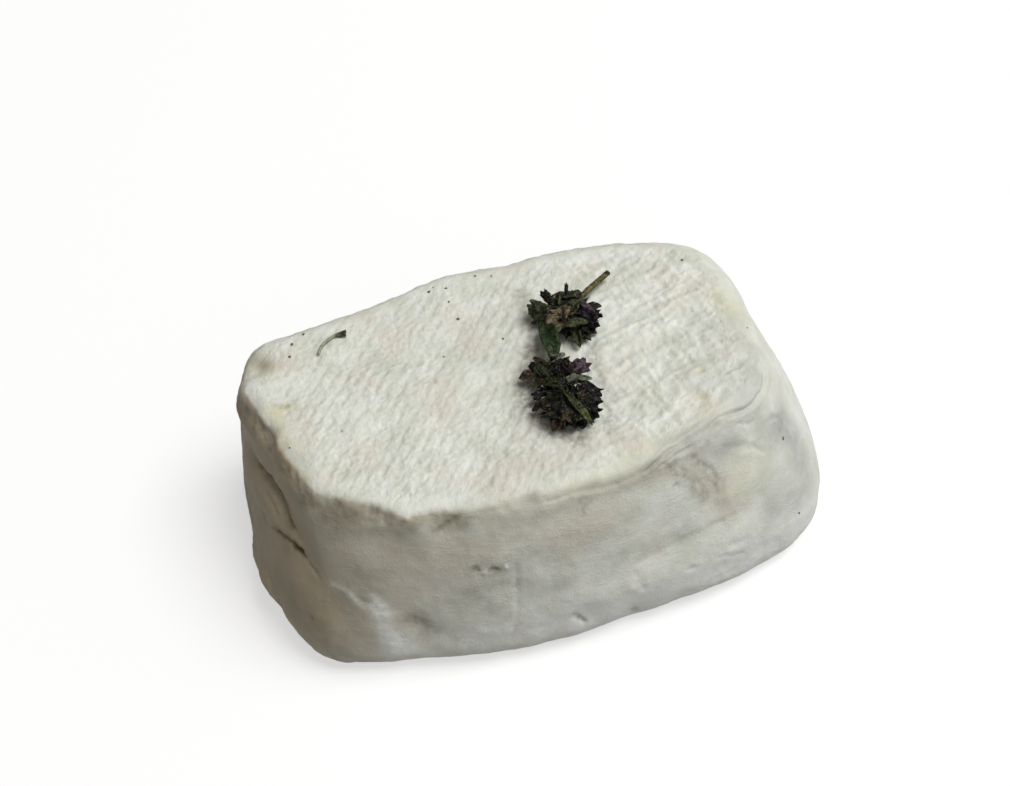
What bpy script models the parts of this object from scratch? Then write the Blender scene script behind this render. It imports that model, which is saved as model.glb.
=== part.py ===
"""A soft goat's-cheese bar from a tapered mould, with a sprig of flowering thyme on top.

The bar stands on its wide face. +X runs along it, +Y to its back, and +Z is up. The origin
is the middle of its foot. Lengths are millimetres times MM, which gives metres.
"""

import math

import bmesh
import bpy
from mathutils import Matrix, Vector, geometry, noise
from mathutils.bvhtree import BVHTree

MM = 0.001

# The bar: its height, and how far its edges are rounded over
HEIGHT = 37.0
RIM_ROUND = 2.6
FOOT_ROUND = 5.5

# The rim's outline in plan, counter-clockwise from the left front corner, each point with
# the draft there: how much further out the foot stands than the rim. CORNERS are the
# points where its sides meet, and RIM_STEPS the steps between two points.
RIM = (
    ((-34.0, -21.5), 11.4),
    ((-20.5, -28.5), 6.5),
    ((-7.0, -30.1), 6.0),
    ((7.0, -29.9), 5.0),
    ((21.0, -26.9), 5.5),
    ((33.0, -21.5), 8.0),
    ((42.5, -14.5), 10.0),
    ((45.0, -4.5), 9.4),
    ((43.7, 7.5), 8.5),
    ((40.7, 20.6), 8.0),
    ((30.5, 27.9), 7.0),
    ((17.0, 29.9), 6.0),
    ((4.0, 29.1), 6.0),
    ((-9.0, 28.9), 6.0),
    ((-21.5, 25.1), 6.0),
    ((-34.0, 22.1), 6.0),
    ((-46.5, 19.0), 6.5),
    ((-47.6, 7.5), 7.0),
    ((-43.8, -2.5), 10.5),
    ((-39.6, -12.5), 12.0),
)
CORNERS = (0, 6, 9, 16)
DRAFT_CURVE = 0.95
RIM_STEPS = 40

# Cells of the bar's surface: along its sides, across its ends, and down its walls
CELLS_LONG = 40
CELLS_ACROSS = 25
CELLS_RIM = 3
CELLS_WALL = 9
CELLS_FOOT = 3

# The rind's folds: the points a fold runs through, its half width and its depth.
# A negative depth stands proud.
FOLDS = (
    # under the rim, round the left end, with the roll of rind in front of it
    (
        ((-51.0, 10.5, 26.0), (-48.0, -0.5, 28.5), (-45.0, -9.5, 29.5), (-42.0, -16.5, 29.5),
         (-40.0, -22.5, 26.0)),
        1.9,
        1.5,
    ),
    (((-46.0, -2.5, 32.5), (-42.0, -12.5, 33.0), (-38.0, -19.5, 33.0), (-36.0, -24.5, 29.0)), 2.4, -0.5),
    # lower down on the left end
    (((-51.0, -3.5, 17.0), (-48.0, -11.5, 20.0), (-44.0, -19.5, 23.0), (-40.0, -25.5, 23.0)), 1.8, 1.2),
    # a ridge down the left front corner, and the dent beside it
    (((-38.0, -26.0, 26.0), (-35.0, -29.5, 22.0), (-33.0, -32.0, 17.0), (-31.0, -34.0, 10.0)), 2.0, -0.35),
    (((-40.0, -27.5, 20.0), (-37.0, -31.5, 15.0), (-34.0, -34.0, 9.0)), 2.4, 0.4),
    # the gutter under the rim, from the right end round to the front
    (
        ((46.5, 2.5, 33.0), (46.5, -5.5, 33.0), (44.5, -12.5, 33.3), (39.0, -17.5, 34.0),
         (30.0, -23.0, 34.0), (18.0, -27.5, 33.6), (4.0, -30.0, 33.5)),
        1.7,
        0.8,
    ),
    # a fold low on the right end's corner
    (((50.0, -6.5, 27.0), (47.5, -14.0, 28.0), (43.5, -18.5, 30.0), (38.0, -20.5, 31.5)), 1.8, 0.6),
    # the line where the right front has slumped, and the swelling below it
    (
        ((43.0, -21.5, 18.0), (35.0, -26.5, 20.0), (30.0, -28.5, 20.5), (20.0, -31.0, 19.5),
         (12.0, -32.5, 19.0), (7.0, -33.5, 20.0)),
        1.6,
        0.6,
    ),
    (((45.0, -22.5, 11.0), (33.0, -28.5, 12.0), (19.0, -32.5, 12.0), (7.0, -34.5, 12.0)), 4.5, -0.8),
    # a crease down the front, and the scab above it
    (((-5.5, -33.5, 22.5), (-5.5, -35.0, 16.0), (-8.0, -36.0, 7.0)), 1.6, 0.4),
    (((-12.0, -33.0, 24.5), (-8.8, -33.5, 23.8), (-5.3, -33.5, 23.8)), 1.7, 0.6),
    # the same kinds of fold along the back
    (
        ((35.0, 28.5, 31.0), (21.0, 32.5, 30.5), (7.0, 32.5, 31.5), (-7.0, 32.0, 31.0),
         (-21.0, 29.5, 32.0)),
        1.9,
        0.8,
    ),
    (((29.0, 33.5, 14.0), (13.0, 35.5, 12.5), (-5.0, 35.0, 13.0), (-17.0, 33.0, 15.0)), 1.8, 0.6),
    (((-47.0, 25.5, 22.0), (-39.0, 27.0, 19.0), (-29.0, 28.0, 18.0)), 1.9, 0.7),
)

# Hollows in the rind: middle, radius and depth. A negative depth is a lump.
HOLLOWS = (
    # the bite out of the foot at the left end, and the lip above it
    ((-52.0, -13.5, 3.0), 4.6, 1.7),
    ((-54.5, -6.5, 6.0), 5.0, -1.2),
    # the torn corner at the back left, a smaller one in front of it, and the shoulder below
    ((-45.5, 13.0, 37.0), 3.2, 1.1),
    ((-40.4, 1.9, 37.0), 1.9, 0.6),
    ((-50.0, 9.5, 31.0), 4.5, -1.3),
    # the drip that hangs from the front rim, and the notch beside it
    ((-20.7, -29.5, 35.0), 2.2, -1.1),
    ((-15.5, -30.1, 34.0), 2.6, 0.9),
    # dents low on the front
    ((-24.0, -34.5, 12.0), 3.2, 0.9),
    ((5.5, -35.0, 9.0), 2.6, 1.1),
    ((13.5, -34.5, 4.5), 2.4, 0.9),
    # pits on the left end
    ((-49.0, -8.5, 21.0), 2.2, 0.6),
    ((-44.4, -14.5, 27.0), 2.0, 0.5),
    # dents at the back and on the right end
    ((51.5, 4.5, 16.0), 4.5, 0.8),
    ((23.0, 34.5, 20.0), 4.0, 0.8),
    ((-31.0, 29.5, 8.0), 3.5, 0.9),
)

# The bar's slow unevenness: its size, the depth it has, and where its pattern starts
WAVE_SIZE = 14.0
WAVE_DEPTH = 0.45
WAVE_START = (3.17, 7.81, 1.3)

# The gap that parts keep from each other
GAP = 0.3

# The thyme stem: its radius, its route's smoothing steps, and what counts as one point
STEM_RADIUS = 0.45
TUBE_STEPS = 3
WELD = 0.01

# The stem's route, from its cut end through both flower heads; heights are above the top face
STEM_ROUTE = (
    (21.7, 18.2, 2.0),
    (16.1, 12.9, 2.6),
    (12.2, 8.0, 3.0),
    (8.4, 2.7, 2.4),
    (8.1, -2.2, 2.6),
    (8.7, -8.5, 3.0),
    (8.3, -14.7, 2.8),
)

# The packed middles of the flower heads: place and half sizes
CORES = (
    ((12.4, 8.7, 2.8), (3.5, 3.0, 1.9)),
    ((8.4, -6.3, 2.8), (3.5, 4.0, 2.0)),
    ((8.8, -13.1, 2.9), (4.2, 4.0, 2.1)),
)

# A packed middle's lumps: how high they are, and how many go round it
LUMP_HEIGHT = 0.12
LUMP_RATE = 1.7

# A leaf: its thickness and cells, its width at root and tip as shares of its full width, how
# its sides swell, how they cup and ripple, and how it arches
LEAF_THICK = 0.28
LEAF_ALONG = 5
LEAF_ACROSS = 4
LEAF_ROOT = 0.16
LEAF_TIP = 0.12
LEAF_SWELL = 0.8
LEAF_CUP = 0.45
LEAF_RIPPLE = 0.18
RIPPLE_ALONG = 9.0
RIPPLE_ACROSS = 2.0
LEAF_ARCH = 0.35

# Leaves: root, tip and width
LEAVES = (
    # the upper head: along its top, over its middle, the turned brown one, and round its right
    ((15.9, 11.7, 4.0), (9.8, 12.2, 3.9), 2.4),
    ((11.7, 7.1, 4.1), (16.1, 10.7, 4.0), 2.6),
    ((12.3, 7.8, 4.4), (8.6, 5.1, 1.4), 2.8),
    ((15.7, 4.6, 3.8), (10.6, 5.3, 4.0), 2.4),
    ((14.2, 8.9, 3.5), (18.9, 8.5, 3.3), 2.0),
    ((13.0, 6.2, 3.0), (13.4, 1.3, 1.2), 2.0),
    ((14.2, 5.4, 2.4), (15.6, 2.4, 1.3), 1.3),
    # the broad green one between the heads
    ((7.8, 7.9, 3.0), (8.4, -3.3, 2.4), 4.2),
    # the lower head: its upper edge, the brown one on its left, and over its top
    ((7.0, -2.8, 3.4), (10.5, -1.3, 3.2), 2.0),
    ((6.8, -4.0, 3.2), (4.5, 1.9, 1.6), 1.6),
    ((5.4, -4.7, 3.0), (1.6, -3.4, 1.4), 2.6),
    ((8.2, -10.3, 4.8), (5.3, -7.0, 3.4), 2.4),
    ((9.3, -8.3, 3.9), (14.0, -8.8, 3.5), 2.0),
    ((8.7, -12.0, 5.0), (10.1, -17.5, 4.4), 2.6),
    ((9.9, -15.0, 4.8), (12.9, -18.9, 1.6), 3.2),
    ((5.8, -12.3, 3.0), (2.7, -11.7, 1.5), 2.0),
    ((8.3, -15.4, 3.6), (5.4, -17.1, 1.5), 2.2),
)

# A calyx: its sides, two to a tooth, its width at the root as a share of its mouth's, how its
# waist swells, how long its teeth are and how far they spread, and how deep its mouth is
CALYX_SIDES = 10
CALYX_ROOT = 0.44
CALYX_SWELL = 1.3
TOOTH_LENGTH = 0.34
TOOTH_SPREAD = 1.12
MOUTH_DEPTH = 0.3

# Calyces, the cups that hold the flowers: root, mouth and the mouth's width
CALYCES = (
    # the upper head, from its left round to its lower right
    ((10.1, 9.4, 3.2), (6.6, 11.8, 3.0), 3.2),
    ((9.9, 8.8, 2.6), (6.6, 9.8, 2.2), 2.4),
    ((10.8, 10.1, 3.6), (9.2, 13.7, 4.1), 1.8),
    ((13.0, 11.3, 4.2), (13.4, 14.1, 4.7), 0.9),
    ((14.1, 8.1, 3.4), (17.4, 6.1, 2.8), 3.6),
    ((13.9, 7.2, 2.8), (16.6, 4.6, 2.4), 3.0),
    ((13.7, 6.4, 2.6), (15.0, 3.2, 2.1), 2.2),
    ((10.9, 6.8, 3.0), (12.1, 4.3, 2.3), 2.4),
    # the lower head's upper half
    ((5.9, -4.0, 3.4), (4.3, -2.4, 2.8), 1.6),
    ((6.5, -6.5, 2.8), (4.8, -7.1, 2.3), 2.4),
    ((8.0, -6.5, 3.4), (10.0, -5.8, 4.8), 3.6),
    ((11.0, -5.6, 3.4), (13.5, -4.4, 3.2), 3.4),
    # its lower half, from the right round to the left
    ((10.9, -10.3, 3.8), (14.3, -12.5, 3.0), 2.6),
    ((11.0, -11.3, 3.0), (13.6, -14.1, 2.7), 2.8),
    ((10.7, -12.9, 2.8), (13.0, -16.1, 2.4), 2.8),
    ((9.7, -14.7, 3.0), (10.2, -17.4, 2.4), 2.8),
    ((8.5, -14.1, 3.2), (7.8, -16.7, 2.4), 3.0),
    ((7.5, -12.9, 3.2), (5.8, -14.9, 2.4), 3.0),
    ((7.3, -10.9, 3.2), (5.2, -12.4, 2.4), 3.0),
    ((7.0, -8.7, 3.0), (3.7, -9.4, 2.5), 1.7),
)

# The stray bit of dry stalk near the back left corner, with its forked tip
STALK_RADIUS = 0.24
STALK_ROUTE = (
    (-33.5, 13.0, 0.6),
    (-32.8, 14.8, 0.6),
    (-31.5, 16.2, 0.6),
    (-29.9, 17.1, 0.6),
    (-28.0, 17.6, 0.6),
)
FORK_RADIUS = 0.29
FORK_ROUTE = ((-29.9, 17.0, 0.6), (-29.1, 16.7, 0.6), (-28.1, 16.6, 0.6))


def clear_scene():
    for obj in list(bpy.data.objects):
        bpy.data.objects.remove(obj)


def make_material(name, colour, roughness):
    material = bpy.data.materials.new(name)
    material.use_nodes = True
    shader = material.node_tree.nodes["Principled BSDF"]
    shader.inputs["Base Color"].default_value = (*colour, 1.0)
    shader.inputs["Roughness"].default_value = roughness
    shader.inputs["Metallic"].default_value = 0.0
    return material


def mesh_object(name, bm, home):
    """A new object in the collection home, with the mesh that bm holds, turned to metres."""
    bmesh.ops.scale(bm, vec=(MM, MM, MM), verts=bm.verts)
    bmesh.ops.recalc_face_normals(bm, faces=bm.faces)
    mesh = bpy.data.meshes.new(name)
    bm.to_mesh(mesh)
    bm.free()
    obj = bpy.data.objects.new(name, mesh)
    home.objects.link(obj)
    return obj


def curve_point(points, t):
    """A point of the Catmull-Rom curve through points, at t points along it."""
    start = min(int(t), len(points) - 2)
    f = t - start
    a, b, c, d = (points[min(max(start + k, 0), len(points) - 1)] for k in (-1, 0, 1, 2))
    return 0.5 * (
        2 * b + (c - a) * f + (2 * a - 5 * b + 4 * c - d) * f**2 + (3 * b - a - 3 * c + d) * f**3
    )


def even_points(points, first, last, cells):
    """Points at even steps along the curve from point first to last, without the last."""
    fine = RIM_STEPS * (last - first)
    walk = [curve_point(points, first + (last - first) * k / fine) for k in range(fine + 1)]
    reach = [0.0]
    for a, b in zip(walk, walk[1:]):
        reach.append(reach[-1] + (b - a).xy.length)
    found = []
    k = 0
    for step in range(cells):
        goal = reach[-1] * step / cells
        while reach[k + 1] < goal:
            k += 1
        found.append(walk[k].lerp(walk[k + 1], (goal - reach[k]) / (reach[k + 1] - reach[k])))
    return found


def rim_sides():
    """The rim as four lists of evenly spaced (x, y, draft): front, right, back and left."""
    # three laps of the rim, so that the curve also runs on smoothly where a lap starts
    points = [Vector((x, y, draft)) for (x, y), draft in RIM]
    lead = len(RIM)
    ends = (*CORNERS, CORNERS[0] + lead)
    cells = (CELLS_LONG, CELLS_ACROSS, CELLS_LONG, CELLS_ACROSS)
    return [even_points(points * 3, a + lead, b + lead, n) for a, b, n in zip(ends, ends[1:], cells)]


def outward_directions(ring):
    """The outward direction in plan at each point of a closed counter-clockwise ring."""
    found = []
    for k, point in enumerate(ring):
        along = ring[(k + 1) % len(ring)] - ring[k - 1]
        found.append(Vector((along.y, -along.x, 0.0)).normalized())
    return found


def wall_levels():
    """The wall from just under the top face to the foot, as (height, inset) at each level."""
    levels = []
    for k in range(1, CELLS_RIM + 1):
        angle = math.pi / 2 * k / CELLS_RIM
        levels.append((HEIGHT - RIM_ROUND * (1 - math.cos(angle)), RIM_ROUND * (1 - math.sin(angle))))
    for k in range(1, CELLS_WALL + 1):
        share = k / CELLS_WALL
        levels.append(((HEIGHT - RIM_ROUND) * (1 - share) + FOOT_ROUND * share, 0.0))
    for k in range(1, CELLS_FOOT + 1):
        angle = math.pi / 2 * k / CELLS_FOOT
        levels.append((FOOT_ROUND * (1 - math.sin(angle)), FOOT_ROUND * (1 - math.cos(angle))))
    return levels


def wall_point(rim, outward, height, inset):
    """The wall's point at a height, under the rim's (x, y, draft)."""
    drop = 1 - height / HEIGHT
    flare = rim.z * math.sin(drop * math.pi / 2) ** DRAFT_CURVE
    return Vector((rim.x, rim.y, height)) + outward * (flare - inset)


def top_point(sides, i, j):
    """The top face's point at cell i along and j across, blended from its four sides."""
    front, right, back, left = sides
    u, v = i / CELLS_LONG, j / CELLS_ACROSS
    near = (1 - u) * front[0] + u * right[0]
    far = (1 - u) * left[0] + u * back[0]
    across = (1 - v) * front[i] + v * back[CELLS_LONG - i]
    along = (1 - u) * left[CELLS_ACROSS - j] + u * right[j]
    return across + along - (1 - v) * near - v * far


def path_distance(point, path):
    """How far a point is from the nearest stretch of a path."""
    nearest = math.inf
    for a, b in zip(path, path[1:]):
        foot, share = geometry.intersect_point_line(point, a, b)
        foot = a.lerp(b, min(max(share, 0.0), 1.0))
        nearest = min(nearest, (point - foot).length)
    return nearest


def relief(point):
    """How deep the rind lies at a point, below the bar's smooth form."""
    depth = WAVE_DEPTH * noise.noise(point / WAVE_SIZE + Vector(WAVE_START))
    for path, width, fold_depth in FOLDS:
        reach = path_distance(point, [Vector(p) for p in path]) / width
        depth += fold_depth * math.exp(-(reach**2))
    for middle, radius, hollow_depth in HOLLOWS:
        reach = (point - Vector(middle)).length / radius
        depth += hollow_depth * math.exp(-(reach**2))
    return depth


def build_cheese(home):
    """The bar: a grid for its top, a loft down its walls, a flat foot, then the rind's relief."""
    sides = rim_sides()
    ring = [point for side in sides for point in side]
    outward = outward_directions(ring)
    edge = [Vector((p.x, p.y, HEIGHT)) - n * RIM_ROUND for p, n in zip(ring, outward)]
    starts = [0, CELLS_LONG, CELLS_LONG + CELLS_ACROSS, 2 * CELLS_LONG + CELLS_ACROSS, len(ring)]
    edge_sides = [edge[a:b] + [edge[b % len(ring)]] for a, b in zip(starts, starts[1:])]

    bm = bmesh.new()
    bmesh.ops.create_grid(bm, x_segments=CELLS_LONG, y_segments=CELLS_ACROSS, size=0.5)
    for vert in bm.verts:
        i = round((vert.co.x + 0.5) * CELLS_LONG)
        j = round((vert.co.y + 0.5) * CELLS_ACROSS)
        vert.co = top_point(edge_sides, i, j)

    bm.verts.ensure_lookup_table()
    row = CELLS_LONG + 1
    front = [bm.verts[i] for i in range(CELLS_LONG)]
    right = [bm.verts[CELLS_LONG + row * j] for j in range(CELLS_ACROSS)]
    back = [bm.verts[row * CELLS_ACROSS + CELLS_LONG - i] for i in range(CELLS_LONG)]
    left = [bm.verts[row * (CELLS_ACROSS - j)] for j in range(CELLS_ACROSS)]
    loop = front + right + back + left
    for height, inset in wall_levels():
        below = [bm.verts.new(wall_point(p, n, height, inset)) for p, n in zip(ring, outward)]
        for k, vert in enumerate(loop):
            after = (k + 1) % len(loop)
            bm.faces.new((vert, below[k], below[after], loop[after]))
        loop = below
    bm.faces.new(loop)

    bmesh.ops.recalc_face_normals(bm, faces=bm.faces)
    bm.normal_update()
    for vert in bm.verts:
        push = -relief(vert.co) * vert.normal
        if vert.co.z < FOOT_ROUND:
            push.z *= vert.co.z / FOOT_ROUND
        vert.co += push
    cheese = mesh_object("cheese", bm, home)
    cheese.data.shade_smooth()
    cheese.data.materials.append(make_material("white_rind", (0.74, 0.73, 0.64), 0.75))
    return cheese


def aim(start, end, twist=0.0):
    """A turn and move that take a piece made along +Z from the origin onto start, towards end."""
    turn = (end - start).to_track_quat("Z", "Y").to_matrix().to_4x4()
    return Matrix.Translation(start) @ turn @ Matrix.Rotation(twist, 4, "Z")


def build_leaf(name, root, tip, width, home):
    """A leaf: a pointed sheet with a folded midrib and a wavy edge, given its thickness."""
    root, tip = Vector(root), Vector(tip)
    length = (tip - root).length
    direction = (tip - root).normalized()
    side = direction.cross(Vector((0, 0, 1))).normalized()
    lift = side.cross(direction)
    bm = bmesh.new()
    bmesh.ops.create_grid(bm, x_segments=LEAF_ALONG, y_segments=LEAF_ACROSS, size=0.5)
    for vert in bm.verts:
        u, v = vert.co.x + 0.5, vert.co.y * 2
        swell = max(math.sin(math.pi * u**LEAF_SWELL), 0.0) ** LEAF_SWELL
        end = LEAF_ROOT * (1 - u) + LEAF_TIP * u
        half = 0.5 * width * (end + (1 - end) * swell)
        bend = LEAF_CUP * v * v + LEAF_RIPPLE * math.sin(RIPPLE_ALONG * u + RIPPLE_ACROSS * v)
        rise = half * bend + LEAF_ARCH * length * u * (1 - u)
        vert.co = root + direction * (length * u) + side * (half * v) + lift * rise
    bmesh.ops.triangulate(bm, faces=bm.faces)
    leaf = mesh_object(name, bm, home)
    solid = leaf.modifiers.new("thickness", "SOLIDIFY")
    solid.thickness = LEAF_THICK * MM
    solid.offset = 0.0
    return leaf


def build_calyx(name, root, mouth, width, home):
    """A calyx: a ribbed cup that widens to five pointed teeth round a hollow."""
    root, mouth = Vector(root), Vector(mouth)
    length = (mouth - root).length
    bm = bmesh.new()
    bmesh.ops.create_cone(
        bm,
        cap_ends=True,
        segments=CALYX_SIDES,
        radius1=CALYX_ROOT * width / 2,
        radius2=width / 2,
        depth=length,
    )
    uprights = [e for e in bm.edges if abs(e.verts[0].co.z - e.verts[1].co.z) > 0.5 * length]
    cut = bmesh.ops.subdivide_edges(bm, edges=uprights, cuts=1)
    for item in cut["geom_inner"]:
        if isinstance(item, bmesh.types.BMVert):
            item.co.xy *= CALYX_SWELL
    for vert in bm.verts:
        step = round(math.atan2(vert.co.y, vert.co.x) / (2 * math.pi) * CALYX_SIDES)
        if vert.co.z > 0.4 * length and step % 2 == 0:
            vert.co.z += TOOTH_LENGTH * width
            vert.co.xy *= TOOTH_SPREAD
    lids = [face for face in bm.faces if len(face.verts) == CALYX_SIDES]
    mouth_lid = max(lids, key=lambda face: face.calc_center_median().z)
    bmesh.ops.poke(bm, faces=[mouth_lid], offset=-MOUTH_DEPTH * length)
    bmesh.ops.translate(bm, verts=bm.verts, vec=(0, 0, length / 2))
    bmesh.ops.transform(bm, matrix=aim(root, mouth, root.x + root.y), verts=bm.verts)
    return mesh_object(name, bm, home)


def build_core(name, middle, half_sizes, home):
    """The packed middle of a flower head: a lumpy ball."""
    bm = bmesh.new()
    bmesh.ops.create_icosphere(bm, subdivisions=2, radius=1.0)
    for vert in bm.verts:
        vert.co *= 1 + LUMP_HEIGHT * noise.noise(vert.co * LUMP_RATE + Vector(middle))
        vert.co = Vector(middle) + Vector(half_sizes) * vert.co
    return mesh_object(name, bm, home)


def build_tube(name, points, radius, home):
    """A tube through points, as a mesh with closed ends."""
    steps = TUBE_STEPS * (len(points) - 1)
    walk = [curve_point(points, k / TUBE_STEPS) for k in range(steps + 1)]
    curve = bpy.data.curves.new(name, "CURVE")
    curve.dimensions = "3D"
    curve.bevel_depth = radius * MM
    curve.bevel_resolution = 1
    curve.use_fill_caps = True
    spline = curve.splines.new("POLY")
    spline.points.add(len(walk) - 1)
    for point, place in zip(spline.points, walk):
        point.co = (*(place * MM), 1.0)
    guide = bpy.data.objects.new(name, curve)
    home.objects.link(guide)
    shape = guide.evaluated_get(bpy.context.evaluated_depsgraph_get())
    mesh = bpy.data.meshes.new_from_object(shape)
    bpy.data.objects.remove(guide)
    bm = bmesh.new()
    bm.from_mesh(mesh)
    bmesh.ops.remove_doubles(bm, verts=bm.verts, dist=WELD * MM)
    bmesh.ops.recalc_face_normals(bm, faces=bm.faces)
    bm.to_mesh(mesh)
    bm.free()
    tube = bpy.data.objects.new(name, mesh)
    home.objects.link(tube)
    return tube


def apply_modifiers(obj):
    shape = obj.evaluated_get(bpy.context.evaluated_depsgraph_get())
    mesh = bpy.data.meshes.new_from_object(shape)
    obj.modifiers.clear()
    obj.data = mesh


def keep_largest_shell(obj):
    """Delete the loose scraps and the sealed hollows that a union leaves."""
    bm = bmesh.new()
    bm.from_mesh(obj.data)
    left = set(bm.verts)
    shells = []
    while left:
        shell = [left.pop()]
        for vert in shell:
            for edge in vert.link_edges:
                other = edge.other_vert(vert)
                if other in left:
                    left.discard(other)
                    shell.append(other)
        shells.append(shell)
    shells.sort(key=len)
    for shell in shells[:-1]:
        bmesh.ops.delete(bm, geom=shell, context="VERTS")
    bm.to_mesh(obj.data)
    bm.free()


def join_pieces(body, pieces):
    """Join the objects of the collection pieces onto body by one union, then remove them."""
    union = body.modifiers.new("join", "BOOLEAN")
    union.operation = "UNION"
    union.operand_type = "COLLECTION"
    union.solver = "MANIFOLD"
    union.collection = pieces
    apply_modifiers(body)
    keep_largest_shell(body)
    for piece in list(pieces.objects):
        bpy.data.objects.remove(piece)
    bpy.data.collections.remove(pieces)


def drop_onto(obj, cheese):
    """Lower or lift an object until its lowest place stands GAP above the rind."""
    corners = [vert.co for vert in cheese.data.vertices]
    faces = [face.vertices for face in cheese.data.polygons]
    rind = BVHTree.FromPolygons(corners, faces)
    above = Vector((0, 0, HEIGHT * MM))
    room = math.inf
    for vert in obj.data.vertices:
        hit = rind.ray_cast(vert.co + above, Vector((0, 0, -1)))[0]
        room = min(room, vert.co.z - hit.z)
    obj.data.transform(Matrix.Translation((0, 0, GAP * MM - room)))


def over_top(points):
    """Points given above the top face, as places in the part's frame."""
    return [Vector((x, y, HEIGHT + rise)) for x, y, rise in points]


def build_sprig(cheese, home):
    """The thyme: cores, leaves and calyces joined onto the stem, laid on the cheese."""
    pieces = bpy.data.collections.new("sprig_pieces")
    bpy.context.scene.collection.children.link(pieces)
    sprig = build_tube("thyme_sprig", over_top(STEM_ROUTE), STEM_RADIUS, home)
    for k, (middle, half_sizes) in enumerate(CORES):
        build_core(f"core_{k}", over_top([middle])[0], half_sizes, pieces)
    for k, (root, tip, width) in enumerate(LEAVES):
        build_leaf(f"leaf_{k}", *over_top([root, tip]), width, pieces)
    for k, (root, mouth, width) in enumerate(CALYCES):
        build_calyx(f"calyx_{k}", *over_top([root, mouth]), width, pieces)
    for piece in pieces.objects:
        apply_modifiers(piece)
    join_pieces(sprig, pieces)
    drop_onto(sprig, cheese)
    sprig.data.materials.clear()
    sprig.data.materials.append(make_material("dried_thyme", (0.040, 0.048, 0.022), 0.7))
    return sprig


def build_stalk(cheese, home):
    """The stray stalk: a bent thread with a short fork at its tip."""
    pieces = bpy.data.collections.new("stalk_pieces")
    bpy.context.scene.collection.children.link(pieces)
    stalk = build_tube("stray_stalk", over_top(STALK_ROUTE), STALK_RADIUS, home)
    build_tube("fork", over_top(FORK_ROUTE), FORK_RADIUS, pieces)
    join_pieces(stalk, pieces)
    drop_onto(stalk, cheese)
    stalk.data.materials.clear()
    stalk.data.materials.append(make_material("dry_stalk", (0.20, 0.19, 0.13), 0.8))
    return stalk


def main():
    clear_scene()
    home = bpy.data.collections.new("goat_cheese")
    bpy.context.scene.collection.children.link(home)
    cheese = build_cheese(home)
    build_sprig(cheese, home)
    build_stalk(cheese, home)


main()
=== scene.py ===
"""The looks of a soft goat's-cheese bar with a sprig of flowering thyme laid on its top.

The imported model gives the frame: +X runs along the bar, +Y to its back, +Z is up, and the
origin is the middle of its foot. Sizes here are in millimetres, times MM for metres.
"""

import logging
import math
import random
from dataclasses import dataclass, field
from enum import Enum
from typing import Callable, Iterable, Sequence

import bpy
from bpy.types import Material, MeshPolygon, Node, NodeSocket, NodeTree, Object
from mathutils import Matrix, Vector, noise
from mathutils.bvhtree import BVHTree
from mathutils.kdtree import KDTree
from mathutils.geometry import intersect_point_line


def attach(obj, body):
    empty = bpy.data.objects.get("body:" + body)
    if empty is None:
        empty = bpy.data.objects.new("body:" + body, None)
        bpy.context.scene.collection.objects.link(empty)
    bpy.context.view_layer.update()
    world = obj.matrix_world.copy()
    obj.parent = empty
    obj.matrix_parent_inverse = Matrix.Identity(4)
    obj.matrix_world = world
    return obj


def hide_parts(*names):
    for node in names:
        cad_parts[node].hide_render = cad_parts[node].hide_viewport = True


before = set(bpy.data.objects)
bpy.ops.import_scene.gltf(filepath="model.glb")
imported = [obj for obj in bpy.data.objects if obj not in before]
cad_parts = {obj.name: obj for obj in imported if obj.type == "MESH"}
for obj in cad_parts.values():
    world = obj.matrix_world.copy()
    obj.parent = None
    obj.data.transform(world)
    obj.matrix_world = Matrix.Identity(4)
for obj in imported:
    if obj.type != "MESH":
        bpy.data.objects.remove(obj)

MM = 0.001
UP = Vector((0.0, 0.0, 1.0))
BODY = "root"
RELIEF = "relief"
TOP = "top"
NOISE_SEED = 5
LOG = logging.getLogger("goat_cheese")

Point = tuple[float, float, float]


# Small tools for numbers and colours


def linear(code: str) -> tuple[float, float, float, float]:
    """Turn an sRGB hex colour into linear light.

    Args:
        code: The colour as "#RRGGBB".

    Returns:
        Its linear red, green and blue, and an alpha of 1.
    """
    channels = []
    for start in (1, 3, 5):
        value = int(code[start : start + 2], 16) / 255
        channels.append(value / 12.92 if value <= 0.04045 else ((value + 0.055) / 1.055) ** 2.4)
    return (*channels, 1.0)


def smooth_step(low: float, high: float, value: float) -> float:
    """Rise smoothly from 0 at low to 1 at high.

    Args:
        low: Where the rise starts.
        high: Where it ends. It may lie below low, and the step then falls.
        value: Where it is asked for.

    Returns:
        The height of the step there.
    """
    share = min(max((value - low) / (high - low), 0.0), 1.0)
    return share * share * (3 - 2 * share)


def bell(distance: float, width: float) -> float:
    """Give a soft bump's height at a distance from its middle."""
    return math.exp(-((distance / width) ** 2))


# Small tools for objects and nodes


def only(piece: Object) -> None:
    """Make a piece the only selected object, and the active one."""
    for other in bpy.context.selected_objects:
        other.select_set(False)
    piece.select_set(True)
    bpy.context.view_layer.objects.active = piece


def pick_faces(piece: Object, wanted: Callable[[MeshPolygon], bool]) -> None:
    """Enter edit mode with the wanted faces of a piece selected, and no others.

    Args:
        piece: The mesh object.
        wanted: The test that a face has to pass.
    """
    only(piece)
    if piece.mode == "EDIT":
        leave_edit()
    mesh = piece.data
    for items in (mesh.vertices, mesh.edges, mesh.polygons):
        items.foreach_set("select", [False] * len(items))
    for face in mesh.polygons:
        face.select = wanted(face)
    bpy.context.tool_settings.mesh_select_mode = (False, False, True)
    bpy.ops.object.mode_set(mode="EDIT")


def edit_all(piece: Object) -> None:
    """Enter edit mode with all of a piece selected."""
    only(piece)
    bpy.ops.object.mode_set(mode="EDIT")
    bpy.ops.mesh.select_all(action="SELECT")


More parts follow.
